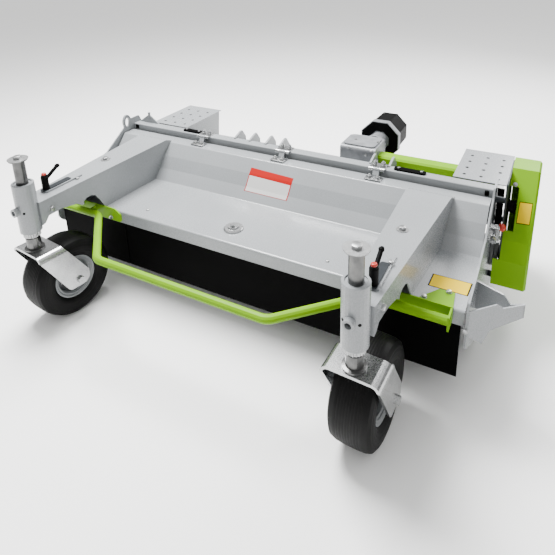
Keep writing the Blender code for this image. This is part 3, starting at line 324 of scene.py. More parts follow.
@dataclass
class Frame:
    """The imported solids, with rays that find seats on them."""

    packed: dict[str, object]
    trees: dict[str, BVHTree] = field(default_factory=dict)

    def tree(self, node: str) -> BVHTree:
        """Builds the search tree of one solid, or returns it if it has been built."""
        if node not in self.trees:
            mesh = self.packed["nodes"][node].data
            faces = [tuple(face.vertices) for face in mesh.polygons]
            self.trees[node] = BVHTree.FromPolygons([v.co.copy() for v in mesh.vertices], faces)
        return self.trees[node]

    def body_of(self, node: str) -> str:
        """Returns the body that carries a solid."""
        bodies = self.packed["record"]["behaviour"]["bodies"]
        return next(body for body, nodes in bodies.items() if node in nodes)

    def joint(self, name: str) -> tuple[Vector, Vector]:
        """Returns a joint's place and axis."""
        found = next(j for j in self.packed["record"]["behaviour"]["joints"] if j["name"] == name)
        return Vector(found["pos_m"]), Vector(found["axis"]).normalized()

    def seat(self, node: str, start: Vector, direction: Vector) -> Seat | None:
        """Finds where a ray first meets a solid.

        Args:
            node: the solid's name.
            start: a point outside the solid.
            direction: the way to look from there.

        Returns:
            The seat, or None if the ray misses.
        """
        place, outward, _, _ = self.tree(node).ray_cast(start, direction.normalized())
        if place is None:
            LOG.warning("no seat on %s from %s", node, tuple(round(c, 3) for c in start))
            return None
        return Seat(place, outward if outward.dot(direction) < 0 else -outward)

    def corner(self, node: str, share: tuple[float, float, float]) -> Vector:
        """Returns a point in a solid's box; share runs from 0 at its low corner to 1 at its high one."""
        low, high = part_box(node)
        return Vector([low[k] + (high[k] - low[k]) * share[k] for k in range(3)])


@dataclass(frozen=True)
class Sight:
    """The photograph's camera, found from points of known shape."""

    place: tuple[float, float, float] = (0.90696, -1.55847, 1.34146)
    azimuth_deg: float = 27.839
    elevation_deg: float = 17.824
    roll_deg: float = -1.2709
    focal_px: float = 519.086
    centre_px: Pixel = (291.093, 102.605)
    frame_px: float = 555.0
    sensor_mm: float = 36.0

    def axes(self) -> tuple[Vector, Vector, Vector]:
        """Returns the camera's right, up and forward directions."""
        turn, tilt, roll = [math.radians(a) for a in (self.azimuth_deg, self.elevation_deg, self.roll_deg)]
        level = Vector((math.cos(turn), math.sin(turn), 0))
        forward = Vector((-math.sin(turn) * math.cos(tilt), math.cos(turn) * math.cos(tilt),
                          -math.sin(tilt)))
        above = level.cross(forward)
        right = math.cos(roll) * level + math.sin(roll) * above
        up = math.cos(roll) * above - math.sin(roll) * level
        return right, up, forward

    def ray(self, pixel: Pixel) -> Vector:
        """Finds the direction in which a pixel of the photograph looks.

        Args:
            pixel: its place from the photograph's upper left corner.

        Returns:
            The direction, of length one.
        """
        right, up, forward = self.axes()
        across = (pixel[0] - self.centre_px[0]) / self.focal_px
        rise = (self.centre_px[1] - pixel[1]) / self.focal_px
        return (right * across + up * rise + forward).normalized()

    def camera(self) -> Piece:
        """Adds the camera and makes it the scene's own."""
        right, up, forward = self.axes()
        bpy.ops.object.camera_add()
        made = bpy.context.object
        made.name = "photo_camera"
        turn = Matrix((right, up, -forward)).transposed().to_4x4()
        made.matrix_world = Matrix.Translation(self.place) @ turn
        made.data.sensor_width = self.sensor_mm
        made.data.lens = self.focal_px / self.frame_px * self.sensor_mm
        made.data.shift_x = 0.5 - self.centre_px[0] / self.frame_px
        made.data.shift_y = self.centre_px[1] / self.frame_px - 0.5
        bpy.context.scene.camera = made
        return made


# Modelling by hand

def clear_selection() -> None:
    """Leaves nothing selected, as an operator acts on all that is."""
    if bpy.context.object and bpy.context.object.mode != "OBJECT":
        bpy.ops.object.mode_set(mode="OBJECT")
    bpy.ops.object.select_all(action="DESELECT")


def select_only(piece: Piece) -> None:
    """Makes a piece the only selected one and the active one."""
    clear_selection()
    piece.select_set(True)
    bpy.context.view_layer.objects.active = piece


def edit_all() -> None:
    """Opens the active piece in edit mode with all of it selected."""
    bpy.ops.object.mode_set(mode="EDIT")
    bpy.ops.mesh.select_all(action="SELECT")


def close_edit() -> None:
    """Points the active piece's faces outwards and leaves edit mode."""
    bpy.ops.mesh.select_all(action="SELECT")
    bpy.ops.mesh.normals_make_consistent(inside=False)
    bpy.ops.object.mode_set(mode="OBJECT")


def extrude(way: tuple[float, float, float]) -> None:
    """Draws the selected faces out along a vector, in edit mode."""
    bpy.ops.mesh.extrude_region_move(TRANSFORM_OT_translate={"value": way})


def apply_place(piece: Piece) -> Piece:
    """Moves a piece's place, turn and scale into its mesh and returns the piece."""
    select_only(piece)
    bpy.ops.object.transform_apply(location=True, rotation=True, scale=True)
    return piece


def join(pieces: list[Piece], name: str) -> Piece:
    """Joins pieces into one.

    Args:
        pieces: the pieces, the first of which takes in the others.
        name: the name of what results.

    Returns:
        The joined piece.
    """
    clear_selection()
    for piece in pieces:
        piece.select_set(True)
    bpy.context.view_layer.objects.active = pieces[0]
    if len(pieces) > 1:
        bpy.ops.object.join()
    made = bpy.context.view_layer.objects.active
    made.name = name
    made.data.name = name
    return made


def smooth(piece: Piece, degrees: float = 35.0) -> Piece:
    """Shades a piece smooth but for edges sharper than some degrees, and returns the piece."""
    select_only(piece)
    bpy.ops.object.shade_smooth_by_angle(angle=math.radians(degrees))
    return piece


def turned_blank(radius: float, low: float, high: float, sides: int, chamfer: float,
                 steps: int = 1, bore: float = 0.0) -> Piece:
    """Models an upright blank with a chamfered or rounded top, and a recess if it has a bore.

    Args:
        radius: its radius over the corners, in metres.
        low: the height of its foot.
        high: the height of its top.
        sides: how many sides it has.
        chamfer: how far the top edge is cut back.
        steps: how many facets the top edge gets.
        bore: the radius of a recess in the top, or 0 for none.

    Returns:
        The piece, in object mode.
    """
    clear_selection()
    bpy.ops.mesh.primitive_cylinder_add(vertices=sides, radius=radius, depth=high - low,
                                        location=(0, 0, (low + high) / 2))
    made = apply_place(bpy.context.object)
    mesh = made.data

    def on_rim(point: Vector) -> bool:
        """Tells whether a point lies on the outer edge of the top."""
        return abs(point.z - high) < 1e-6 and point.xy.length > radius * RIM_SHARE

    for face in mesh.polygons:
        face.select = face.normal.z > 0.9
    bpy.ops.object.mode_set(mode="EDIT")
    bpy.ops.mesh.select_mode(type="FACE")
    if bore:
        bpy.ops.mesh.inset(thickness=radius - bore)
        extrude((0, 0, (low - high) * RECESS_SHARE))
    bpy.ops.object.mode_set(mode="OBJECT")
    for edge in mesh.edges:
        edge.select = all(on_rim(mesh.vertices[k].co) for k in edge.vertices)
    for vertex in mesh.vertices:
        vertex.select = on_rim(vertex.co)
    for face in mesh.polygons:
        face.select = False
    bpy.ops.object.mode_set(mode="EDIT")
    bpy.ops.mesh.select_mode(type="EDGE")
    bpy.ops.mesh.bevel(offset=chamfer, segments=steps, affect="EDGES")
    bpy.ops.object.mode_set(mode="OBJECT")
    return made


def bevelled_block(name: str, place: Vector, size: tuple[float, float, float], edge: float,
                   steps: int) -> Piece:
    """Models an upright block with all its edges rounded.

    Args:
        name: its name.
        place: its middle.
        size: its width, depth and height.
        edge: how far the edges are cut back.
        steps: how many facets each edge gets.

    Returns:
        The block, in object mode and shaded smooth.
    """
    clear_selection()
    bpy.ops.mesh.primitive_cube_add(size=1, location=place)
    block = bpy.context.object
    block.scale = size
    apply_place(block)
    edit_all()
    bpy.ops.mesh.bevel(offset=edge, segments=steps, affect="EDGES")
    bpy.ops.object.mode_set(mode="OBJECT")
    block.name = name
    return smooth(block)


@dataclass(frozen=True)
class FastenerSize:
    """A fastener's sizes in millimetres; a nut has a thread end that stands out of it."""

    flats: float
    height: float
    washer: float = 0.0
    washers: int = 1
    thread: float = 0.0
    dome: bool = False
    socket: bool = False


class Fastener(Enum):
    """The kinds of fastener on the mower."""

    ARM_BOLT = FastenerSize(flats=19, height=8.5, washer=19)
    STEM_BOLT = FastenerSize(flats=24, height=9.5, washer=33)
    BOLT_M12 = FastenerSize(flats=18, height=7.5, washer=13)
    BOLT_M10 = FastenerSize(flats=16, height=6.4, washer=10.5)
    BOLT_M8 = FastenerSize(flats=13, height=5.3, washer=8.5)
    BOLT_M6 = FastenerSize(flats=10, height=4.0)
    NUT_M10 = FastenerSize(flats=16, height=8.4, washer=10, thread=4)
    NUT_M8 = FastenerSize(flats=15, height=8, washer=10, thread=4)
    NUT_ON_WASHERS = FastenerSize(flats=15, height=8, washer=10.5, washers=3, thread=5)
    DOME_BOLT = FastenerSize(flats=13, height=4.2, dome=True)
    TENSION_KNOB = FastenerSize(flats=26, height=22, dome=True)
    RUBBER_COLLAR = FastenerSize(flats=30, height=4, dome=True)
    SOCKET_SCREW = FastenerSize(flats=10, height=5.5, washer=7.5, socket=True)

    def model(self) -> Piece:
        """Models the fastener on the origin, facing +Z."""
        size = self.value
        level, parts = 0.0, []
        for _ in range(size.washers if size.washer else 0):
            parts.append(turned_blank(size.washer * MM, level, level + WASHER_HEIGHT, 32,
                                      chamfer=0.35 * MM))
            level += WASHER_HEIGHT + WASHER_GAP
        corner = size.flats / math.sqrt(3) * MM
        top = level + size.height * MM
        if size.dome:
            parts.append(turned_blank(size.flats / 2 * MM, level, top, 28,
                                      chamfer=size.height * 0.8 * MM, steps=5))
        elif size.socket:
            parts.append(turned_blank(size.flats / 2 * MM, level, top, 28, chamfer=0.5 * MM, steps=2,
                                      bore=size.flats * 0.28 * MM))
        else:
            parts.append(turned_blank(corner, level, top, 6, chamfer=0.9 * MM, steps=2))
        if size.thread:
            end = top + size.thread * MM
            parts.append(turned_blank(size.flats * 0.3 * MM, top - MM, end, 20, chamfer=0.7 * MM))
        return smooth(join(parts, self.name.lower()), 30)


@dataclass
class Fitter:
    """Seats fasteners on the solids and joins those of one place into one piece."""

    frame: Frame
    sight: Sight
    masters: dict[Fastener, Piece] = field(default_factory=dict)

    def by_pixel(self, node: str, pixels: tuple[Pixel, ...]) -> list[Seat]:
        """Finds the seats on a solid at pixels of the photograph."""
        found = [self.frame.seat(node, Vector(self.sight.place), self.sight.ray(p)) for p in pixels]
        return [seat for seat in found if seat]

    def fit(self, name: str, kind: Fastener, node: str, seats: list[Seat],
            coat: Coat = Coat.ZINC_BOLT) -> Piece | None:
        """Puts one kind of fastener on each seat.

        Args:
            name: the name of the joined piece.
            kind: the fastener.
            node: the solid that carries them.
            seats: where they go.
            coat: their finish.

        Returns:
            The joined piece, or None if no seat was found.
        """
        seats = [seat for seat in seats if seat]
        if not seats:
            return None
        if kind not in self.masters:
            self.masters[kind] = kind.model()
        copies = []
        for number, seat in enumerate(seats):
            copy = self.masters[kind].copy()
            copy.data = copy.data.copy()
            bpy.context.scene.collection.objects.link(copy)
            spin = Matrix.Rotation(math.radians(17 + 71 * number), 4, "Z")
            copy.data.transform(seat.matrix @ spin)
            copies.append(copy)
        made = coat.dress(join(copies, name))
        LOG.info("%s: %d on %s", name, len(seats), node)
        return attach(made, self.frame.body_of(node))

    def fit_at(self, name: str, kind: Fastener, node: str, pixels: tuple[Pixel, ...],
               coat: Coat = Coat.ZINC_BOLT) -> Piece | None:
        """Puts one kind of fastener on a solid at each pixel, as fit does on each seat."""
        return self.fit(name, kind, node, self.by_pixel(node, pixels), coat)

    def put_away(self) -> None:
        """Removes the pattern pieces once every copy is made."""
        for master in self.masters.values():
            bpy.data.objects.remove(master)
        self.masters.clear()


# Sub-assemblies

@dataclass
class CarriedSolids:
    """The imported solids, each with the finish of what it is made of."""

    frame: Frame

    def dress(self) -> None:
        """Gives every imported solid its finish."""
        for entry in self.frame.packed["record"]["subparts"]:
            node, slot = entry["node"], entry["material_slot"]
            NODE_COATS.get(node, SLOT_COATS[slot]).dress(self.frame.packed["nodes"][node])
            LOG.info("%s: %s", node, slot)


@dataclass
class CasterTyre:
    """A caster's tyre with a ribbed crown and ringed sidewalls, in place of its plain solid."""

    frame: Frame
    side: str
    steps: int = 160
    spacing: float = 1.3 * MM
    crown_share: float = 0.62
    groove_pitch: float = 8.0 * MM
    groove_width: float = 2.6 * MM
    groove_depth: float = 0.7 * MM
    crown_depth: float = 12.0 * MM
    ring_height: float = 0.7 * MM
    # The sidewall's rings: how far out they lie, and where they run, in hundredths of the wall.
    wall_side: float = 0.75
    ring_zone: tuple[float, float] = (0.30, 0.72)
    ring_pitch: int = 14
    ring_land: int = 4

    def outline(self, node: str, centre: Vector, axis: Vector) -> list[tuple[float, float]]:
        """Reads the solid's own section as (radius, position) points in order.

        Args:
            node: the tyre's solid.
            centre: a point on its axis.
            axis: the axis.

        Returns:
            The closed section, one point for each ring of the solid.
        """
        points = []
        for vertex in self.frame.packed["nodes"][node].data.vertices:
            away = vertex.co - centre
            position = away.dot(axis)
            radius = (away - axis * position).length
            if not any(abs(radius - r) + abs(position - a) < 2e-5 for r, a in points):
                points.append((radius, position))
        middle = sum(r for r, _ in points) / len(points)
        return sorted(points, key=lambda p: math.atan2(p[1], p[0] - middle))

    def resampled(self, section: list[tuple[float, float]]) -> list[tuple[float, float]]:
        """Cuts each side of the section into short steps of equal length.

        Args:
            section: its corners as (radius, position) points in order.

        Returns:
            The finer section.
        """
        made = []
        for (r0, a0), (r1, a1) in zip(section, section[1:] + section[:1]):
            count = max(1, round(math.hypot(r1 - r0, a1 - a0) / self.spacing))
            made += [(r0 + (r1 - r0) * k / count, a0 + (a1 - a0) * k / count) for k in range(count)]
        return made

    def moulded(self, radius: float, position: float, half: float, crown: float,
                seat: float) -> tuple[float, float]:
        """Moves a point of the section for the grooves and the sidewall rings.

        Args:
            radius: the point's radius.
            position: its place along the axis.
            half: half the tyre's width.
            crown: the tyre's outer radius.
            seat: the tyre's inner radius.

        Returns:
            The moved point as (radius, position).
        """
        if radius > crown - self.crown_depth and abs(position) < half * self.crown_share:
            phase = abs((position / self.groove_pitch + 0.5) % 1.0 - 0.5) * self.groove_pitch
            if phase < self.groove_width / 2:
                return radius - self.groove_depth, position
        wall = (radius - seat) / (crown - seat)
        ringed = abs(position) > half * self.wall_side and self.ring_zone[0] < wall < self.ring_zone[1]
        if ringed and (wall * 100) % self.ring_pitch < self.ring_land:
            return radius, position - math.copysign(self.ring_height, position)
        return radius, position

    def build(self) -> Piece:
        """Spins the moulded section round the wheel's axis and dresses the result."""
        node = f"tyre_{self.side}"
        centre, axis = self.frame.joint(f"wheel_spin_{self.side}")
        section = self.resampled(self.outline(node, centre, axis))
        half = max(abs(a) for _, a in section)
        crown, seat = max(r for r, _ in section), min(r for r, _ in section)
        outward = axis.cross(UP).normalized()
        clear_selection()
        bpy.ops.mesh.primitive_circle_add(vertices=len(section), radius=crown)
        made = bpy.context.object
        for vertex, (radius, position) in zip(made.data.vertices, section):
            radius, position = self.moulded(radius, position, half, crown, seat)
            vertex.co = centre + outward * radius + axis * position
            vertex.select = True
        edit_all()
        bpy.ops.mesh.spin(steps=self.steps, angle=math.tau, center=centre, axis=axis)
        bpy.ops.mesh.select_all(action="SELECT")
        bpy.ops.mesh.remove_doubles(threshold=2e-5)
        close_edit()
        made.name = f"ribbed_tyre_{self.side}"
        made.data.name = made.name
        Coat.TYRE_RUBBER.dress(smooth(made, 40))
        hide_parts(node)
        LOG.info("%s: %d faces", made.name, len(made.data.polygons))
        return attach(made, self.frame.body_of(node))


@dataclass
class CasterHardware:
    """The small pieces on a caster's tube, arm and rim."""

    fitter: Fitter
    side: str
    # How deep a small piece's foot sits in the solid under it.
    sunk: float = 0.5 * MM
    cap_radius: float = 8.5 * MM
    cap_height: float = 6.0 * MM
    hole_shade_radius: float = 4.6 * MM
    hole_shade_spread_deg: float = 37.0
    hole_shade_drop: float = 99.5 * MM
    hole_shade_height: float = 0.35 * MM
    stud_radius: float = 4.6 * MM
    stud_height: float = 3.5 * MM
    rim_bolts: int = 4
    rim_ring_share: float = 0.27
    washer_reach: float = 25 * MM
    washer_sink: float = 1.7 * MM
    teeth: int = 22
    tooth: float = 2.6 * MM
    ring_radius: float = 26.0 * MM
    ring_gap: float = 1.0 * MM
    ring_height: float = 17 * MM
    plate_width: float = 26 * MM
    plate_lead: float = 6 * MM
    plate_length: float = 120 * MM
    plate_height: float = 2.5 * MM

    def lever_cap(self) -> Piece:
        """Models the round cap on the hub of the clamp lever."""
        node = f"clamp_lever_{self.side}"
        low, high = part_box(node)
        hub = Vector(((low.x + high.x) / 2, low.y + (high.x - low.x) / 2, high.z + NEAR))
        seat = self.fitter.frame.seat(node, hub, DOWN)
        cap = turned_blank(self.cap_radius, -self.sunk, self.cap_height, 32,
                           chamfer=self.cap_height * 0.55, steps=5)
        cap.data.transform(Matrix.Translation(seat.place))
        cap.name = f"lever_cap_{self.side}"
        Coat.RED_PLASTIC.dress(smooth(cap))
        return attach(cap, self.fitter.frame.body_of(node))

    def tube_hole_shades(self) -> Piece:
        """Sets near-black discs of painted shade for the two holes beside the boss, and the screw inside
        the boss, which gets the same painted shade.
        """
        frame, node = self.fitter.frame, f"caster_tube_{self.side}"
        _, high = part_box(node)
        centre, _ = frame.joint(f"caster_swivel_{self.side}")
        level = high.z - self.hole_shade_drop
        hole_shades = []
        for turn in (-self.hole_shade_spread_deg, self.hole_shade_spread_deg):
            away = Vector((math.sin(math.radians(turn)), -math.cos(math.radians(turn)), 0))
            start = Vector((centre.x, centre.y, level)) + away * FAR
            seat = frame.seat(node, start, -away)
            if seat:
                hole_shade = turned_blank(self.hole_shade_radius, -MM, self.hole_shade_height, 20, chamfer=0.2 * MM,
                                    bore=self.hole_shade_radius * 0.6)
                hole_shade.data.transform(seat.matrix)
                hole_shades.append(hole_shade)
        stud = turned_blank(self.stud_radius, -self.sunk, self.stud_height, 24, chamfer=0.8 * MM,
                            steps=2, bore=self.stud_radius * 0.5)
        seat = frame.seat(node, Vector((centre.x, centre.y - FAR, level)), REAR)
        if seat:
            stud.data.transform(seat.matrix)
            hole_shades.append(stud)
        made = join(hole_shades, f"tube_hole_shades_{self.side}")
        # Painted shade: the hole discs and the recessed screw get the near-black finish that stands in for
        # shade in holes.
        Coat.PAINTED_HOLE_SHADE.dress(smooth(made))
        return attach(made, frame.body_of(node))

    def stem_bolt(self) -> None:
        """Covers the stem's end with its bright washer and bolt."""
        frame, node = self.fitter.frame, f"stem_{self.side}"
        centre, _ = frame.joint(f"caster_swivel_{self.side}")
        washer = frame.seat(node, Vector((centre.x + self.washer_reach, centre.y, ABOVE)), DOWN)
        top = Seat(Vector((centre.x, centre.y, washer.place.z - self.washer_sink)), UP)
        self.fitter.fit(f"stem_bolt_{self.side}", Fastener.STEM_BOLT, node, [top])

    def toothed_ring(self) -> Piece:
        """Models the splined ring that sits just under the tube."""
        frame = self.fitter.frame
        centre, _ = frame.joint(f"caster_swivel_{self.side}")
        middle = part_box(f"caster_tube_{self.side}")[0].z - self.ring_gap - self.ring_height / 2
        clear_selection()
        bpy.ops.mesh.primitive_cylinder_add(vertices=self.teeth * 4, radius=self.ring_radius,
                                            depth=self.ring_height, location=(centre.x, centre.y, middle))
        ring = apply_place(bpy.context.object)
        for vertex in ring.data.vertices:
            away = (vertex.co - Vector((centre.x, centre.y, 0))).xy
            turn = math.atan2(away.y, away.x) / math.tau * self.teeth
            if turn % 1.0 < 0.5:
                vertex.co.xy += away.normalized() * self.tooth
        ring.name = f"toothed_ring_{self.side}"
        Coat.ZINC_BOLT.dress(smooth(ring, 20))
        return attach(ring, frame.body_of(f"stem_{self.side}"))

    def strap_plate(self) -> Piece:
        """Models the dark plate under the clamp lever; its slot is not cut."""
        frame, node = self.fitter.frame, f"arm_{self.side}"
        lever_low, lever_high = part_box(f"clamp_lever_{self.side}")
        middle = (lever_low.x + lever_high.x) / 2
        near = lever_low.y - self.plate_lead
        clear_selection()
        bpy.ops.mesh.primitive_plane_add(size=1, location=(middle, near + self.plate_length / 2, 0))
        plate = bpy.context.object
        plate.scale = (self.plate_width, self.plate_length, 1)
        apply_place(plate)
        seats = [frame.seat(node, Vector((middle, v.co.y, ABOVE)), DOWN) for v in plate.data.vertices]
        level = max(seat.place.z for seat in seats) + 0.2 * MM
        for vertex in plate.data.vertices:
            vertex.co.z = level
        edit_all()
        bpy.ops.mesh.bevel(offset=self.plate_width * 0.3, segments=6, affect="VERTICES")
        bpy.ops.mesh.select_all(action="SELECT")
        extrude((0, 0, self.plate_height))
        close_edit()
        plate.name = f"strap_plate_{self.side}"
        Coat.DARK_PLATE.dress(smooth(plate, 25))
        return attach(plate, frame.body_of(node))

    def rim_studs(self) -> None:
        """Puts a ring of bolts on each face of the rim's disc."""
        frame, node = self.fitter.frame, f"rim_{self.side}"
        centre, axis = frame.joint(f"wheel_spin_{self.side}")
        low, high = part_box(node)
        ring = (high.z - low.z) * self.rim_ring_share
        outward = axis.cross(UP).normalized()
        seats = []
        for way in (-1, 1):
            for k in range(self.rim_bolts):
                turn = Matrix.Rotation(math.tau * (k + 0.5) / self.rim_bolts, 3, axis)
                start = centre + turn @ outward * ring + axis * way * FAR
                seats.append(frame.seat(node, start, -axis * way))
        self.fitter.fit(f"rim_bolts_{self.side}", Fastener.BOLT_M6, node, seats)

    def build(self) -> None:
        """Builds all of them."""
        self.lever_cap()
        self.tube_hole_shades()
        self.stem_bolt()
        self.toothed_ring()
        self.strap_plate()
        self.rim_studs()


@dataclass
class HoodHardware:
    """Bolts on the hood, its arms and its guard tube, and the rail's stops, by photograph pixels."""

    fitter: Fitter
    # Left, then right.
    arm_tops: tuple[Pixel, Pixel] = ((105.6, 159.5), (402.5, 229.5))
    arm_sides: tuple[Pixel, Pixel] = ((52, 208), (383, 307))
    strap_ends: tuple[Pixel, Pixel] = ((77.5, 179), (391, 263))
    pan_domes: tuple[Pixel, ...] = ((148, 210), (327.5, 261.3))
    guard_bolts: tuple[Pixel, ...] = ((111.5, 217), (83, 202), (449, 292.5), (424, 297))
    latch_nut: Pixel = (233, 221)
    collar_height: float = 4 * MM
    rail_stops: tuple[Pixel, Pixel] = ((138, 126), (487, 193))
    stop_size: tuple[float, float, float] = (14 * MM, 16 * MM, 17 * MM)
    stop_edge: float = 2.1 * MM

    def rail_stop(self, side: str, pixel: Pixel) -> Piece:
        """Models the black rubber stop against the front of the rail, near one end.

        Args:
            side: left or right.
            pixel: where the photograph shows it.

        Returns:
            The stop.
        """
        node = "rear_shell"
        seat = self.fitter.by_pixel(node, (pixel,))[0]
        stop = bevelled_block(f"rail_stop_{side}", seat.place, self.stop_size, self.stop_edge, 3)
        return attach(Coat.RUBBER_SHEET.dress(stop), self.fitter.frame.body_of(node))

    def build(self) -> None:
        """Seats them all."""
        fitter = self.fitter
        for side, top, flank, strap in zip(SIDES, self.arm_tops, self.arm_sides, self.strap_ends):
            arm = f"arm_{side}"
            fitter.fit_at(f"arm_top_bolt_{side}", Fastener.ARM_BOLT, arm, (top,))
            fitter.fit_at(f"arm_side_bolt_{side}", Fastener.BOLT_M10, arm, (flank,))
            fitter.fit_at(f"strap_bolt_{side}", Fastener.BOLT_M8, arm, (strap,))
        fitter.fit_at("pan_dome_bolts", Fastener.DOME_BOLT, "front_hood", self.pan_domes)
        latch = "hood_latch"
        foot = fitter.by_pixel(latch, (self.latch_nut,))
        fitter.fit("latch_collar", Fastener.RUBBER_COLLAR, latch, foot, Coat.RUBBER_SHEET)
        raised = [Seat(seat.place + seat.outward * self.collar_height, seat.outward) for seat in foot]
        fitter.fit("latch_nut", Fastener.NUT_M10, latch, raised)
        for side, pixel in zip(SIDES, self.rail_stops):
            self.rail_stop(side, pixel)
        fitter.fit_at("guard_bolts", Fastener.BOLT_M8, "bumper", self.guard_bolts)


@dataclass
class HingeHardware:
    """Nuts on the three hood hinges and screws on the rubber strips beside them."""

    fitter: Fitter
    hinge_offsets: tuple[float, float, float] = (-0.4035, 0.0, 0.4035)
    pair_half: float = 16 * MM
    front_reach: float = -37 * MM
    rear_reach: float = 31 * MM
    leaf_size: tuple[float, float, float] = (62 * MM, 34 * MM, 1.2 * MM)
    leaf_edge: float = 0.36 * MM
    strap_ends: tuple[float, float] = (0.14, 0.86)

    def leaf_plate(self, number: int, x: float, y: float) -> Piece:
        """Models the bright plate on the front half of one hinge.

        Args:
            number: which hinge, from the left.
            x: the hinge's middle.
            y: the hinge line.

        Returns:
            The plate.
        """
        frame = self.fitter.frame
        seat = frame.seat("front_hood", Vector((x + self.pair_half, y + self.front_reach, ABOVE)), DOWN)
        middle = Vector((x, y + self.front_reach, seat.place.z + self.leaf_size[2] / 2))
        plate = bevelled_block(f"hinge_leaf_plate_{number}", middle, self.leaf_size, self.leaf_edge, 2)
        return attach(Coat.ZINC.dress(plate), frame.body_of("front_hood"))

    def build(self) -> None:
        """Seats them all from above."""
        frame = self.fitter.frame
        hinge, _ = frame.joint("hood_hinge")
        front = []
        for number, offset in enumerate(self.hinge_offsets, 1):
            strap, rear = f"rear_hinge_{number}", []
            for side in (-1, 1):
                x = hinge.x + offset + side * self.pair_half
                front.append(frame.seat("front_hood", Vector((x, hinge.y + self.front_reach, ABOVE)), DOWN))
                rear.append(frame.seat(strap, Vector((x, hinge.y + self.rear_reach, ABOVE)), DOWN))
            self.fitter.fit(f"hinge_nuts_{number}", Fastener.NUT_ON_WASHERS, strap, rear)
            self.leaf_plate(number, hinge.x + offset, hinge.y)
        self.fitter.fit("hinge_front_nuts", Fastener.NUT_M8, "front_hood", front)
        for side in SIDES:
            node = f"rubber_strap_{side}"
            ends = [frame.corner(node, (share, 0.5, 1)) + UP * NEAR for share in self.strap_ends]
            seats = [frame.seat(node, end, DOWN) for end in ends]
            self.fitter.fit(f"strap_screws_{side}", Fastener.BOLT_M6, node, seats)


@dataclass
class DriveHardware:
    """Bolts on the gearbox, the belt drive and the bearings, the black guard web, and a near-black sheet of
    painted shade beside the belt plate.
    """

    fitter: Fitter
    gearbox_cover: tuple[Pixel, ...] = ((356, 139.5), (378, 142.5), (349, 148), (371, 151.5), (366, 155))
    belt_screw: tuple[Pixel, ...] = ((515.5, 184.5),)
    bearing_bolts: int = 4
    outside_left: float = -1.2
    bearing_ring: float = 44 * MM
    tension_knob: tuple[Pixel, ...] = ((502, 227),)
    gap_shade_place: float = 0.225
    gap_shade_range: tuple[float, float] = (0.30, 0.484)
    gap_shade_thickness: float = 3 * MM
    gap_shade_edge: float = 0.6 * MM
    web_radius: float = 86 * MM
    web_bore: float = 44.5 * MM
    web_lift: float = 0.3
    ahead: float = -1.0
    web_thickness: float = 1.5 * MM

    def belt_gap_shade(self) -> Piece:
        """Models a near-black crosswise sheet between the side plate and the belt plate: painted shade that
        makes the gap between them read dark.
        """
        left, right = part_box("side_plate_right")[1].x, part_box("belt_plate")[0].x
        foot, head = self.gap_shade_range
        middle = Vector(((left + right) / 2, self.gap_shade_place, (foot + head) / 2))
        size = (right - left, self.gap_shade_thickness, head - foot)
        sheet = bevelled_block("belt_gap_shade", middle, size, self.gap_shade_edge, 2)
        LOG.info("belt_gap_shade: %.1f mm wide", (right - left) / MM)
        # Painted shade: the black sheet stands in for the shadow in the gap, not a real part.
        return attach(Coat.BLACK_PLASTIC.dress(sheet), self.fitter.frame.body_of("belt_plate"))

    def guard_web(self) -> Piece | None:
        """Models the black eight-sided plate on the front of the gearbox's guard flange."""
        frame = self.fitter.frame
        centre, _ = frame.joint("pto_spin")
        reach = (self.web_radius + self.web_bore) / 2
        start = Vector((centre.x + reach, self.ahead, centre.z + reach * self.web_lift))
        seat = frame.seat("gearbox", start, REAR)
        if not seat:
            return None
        rings = []
        for radius in (self.web_radius, self.web_bore):
            clear_selection()
            bpy.ops.mesh.primitive_circle_add(vertices=8, radius=radius,
                                              location=(centre.x, seat.place.y, centre.z),
                                              rotation=(math.pi / 2, math.pi / 8, 0))
            rings.append(apply_place(bpy.context.object))
        web = join(rings, "guard_web")
        edit_all()
        bpy.ops.mesh.bridge_edge_loops()
        bpy.ops.mesh.select_all(action="SELECT")
        extrude((0, -self.web_thickness, 0))
        close_edit()
        Coat.BLACK_PLASTIC.dress(smooth(web, 25))
        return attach(web, frame.body_of("gearbox"))

    def build(self) -> None:
        """Seats them all."""
        fitter, frame = self.fitter, self.fitter.frame
        fitter.fit_at("gearbox_bolts", Fastener.BOLT_M6, "gearbox", self.gearbox_cover)
        self.guard_web()
        self.belt_gap_shade()
        fitter.fit_at("belt_cover_screws", Fastener.SOCKET_SCREW, "belt_cover", self.belt_screw)
        fitter.fit_at("tension_knob", Fastener.TENSION_KNOB, "belt_plate", self.tension_knob,
                      Coat.RED_PLASTIC)
        centre, _ = frame.joint("rotor_spin")
        seats = []
        for k in range(self.bearing_bolts):
            turn = math.tau * (k + 0.5) / self.bearing_bolts
            away = Vector((0, math.cos(turn), math.sin(turn))) * self.bearing_ring
            start = Vector((self.outside_left, centre.y, centre.z)) + away
            seats.append(frame.seat("side_plate_left", start, RIGHT))
        fitter.fit("bearing_bolts", Fastener.BOLT_M8, "side_plate_left", seats)


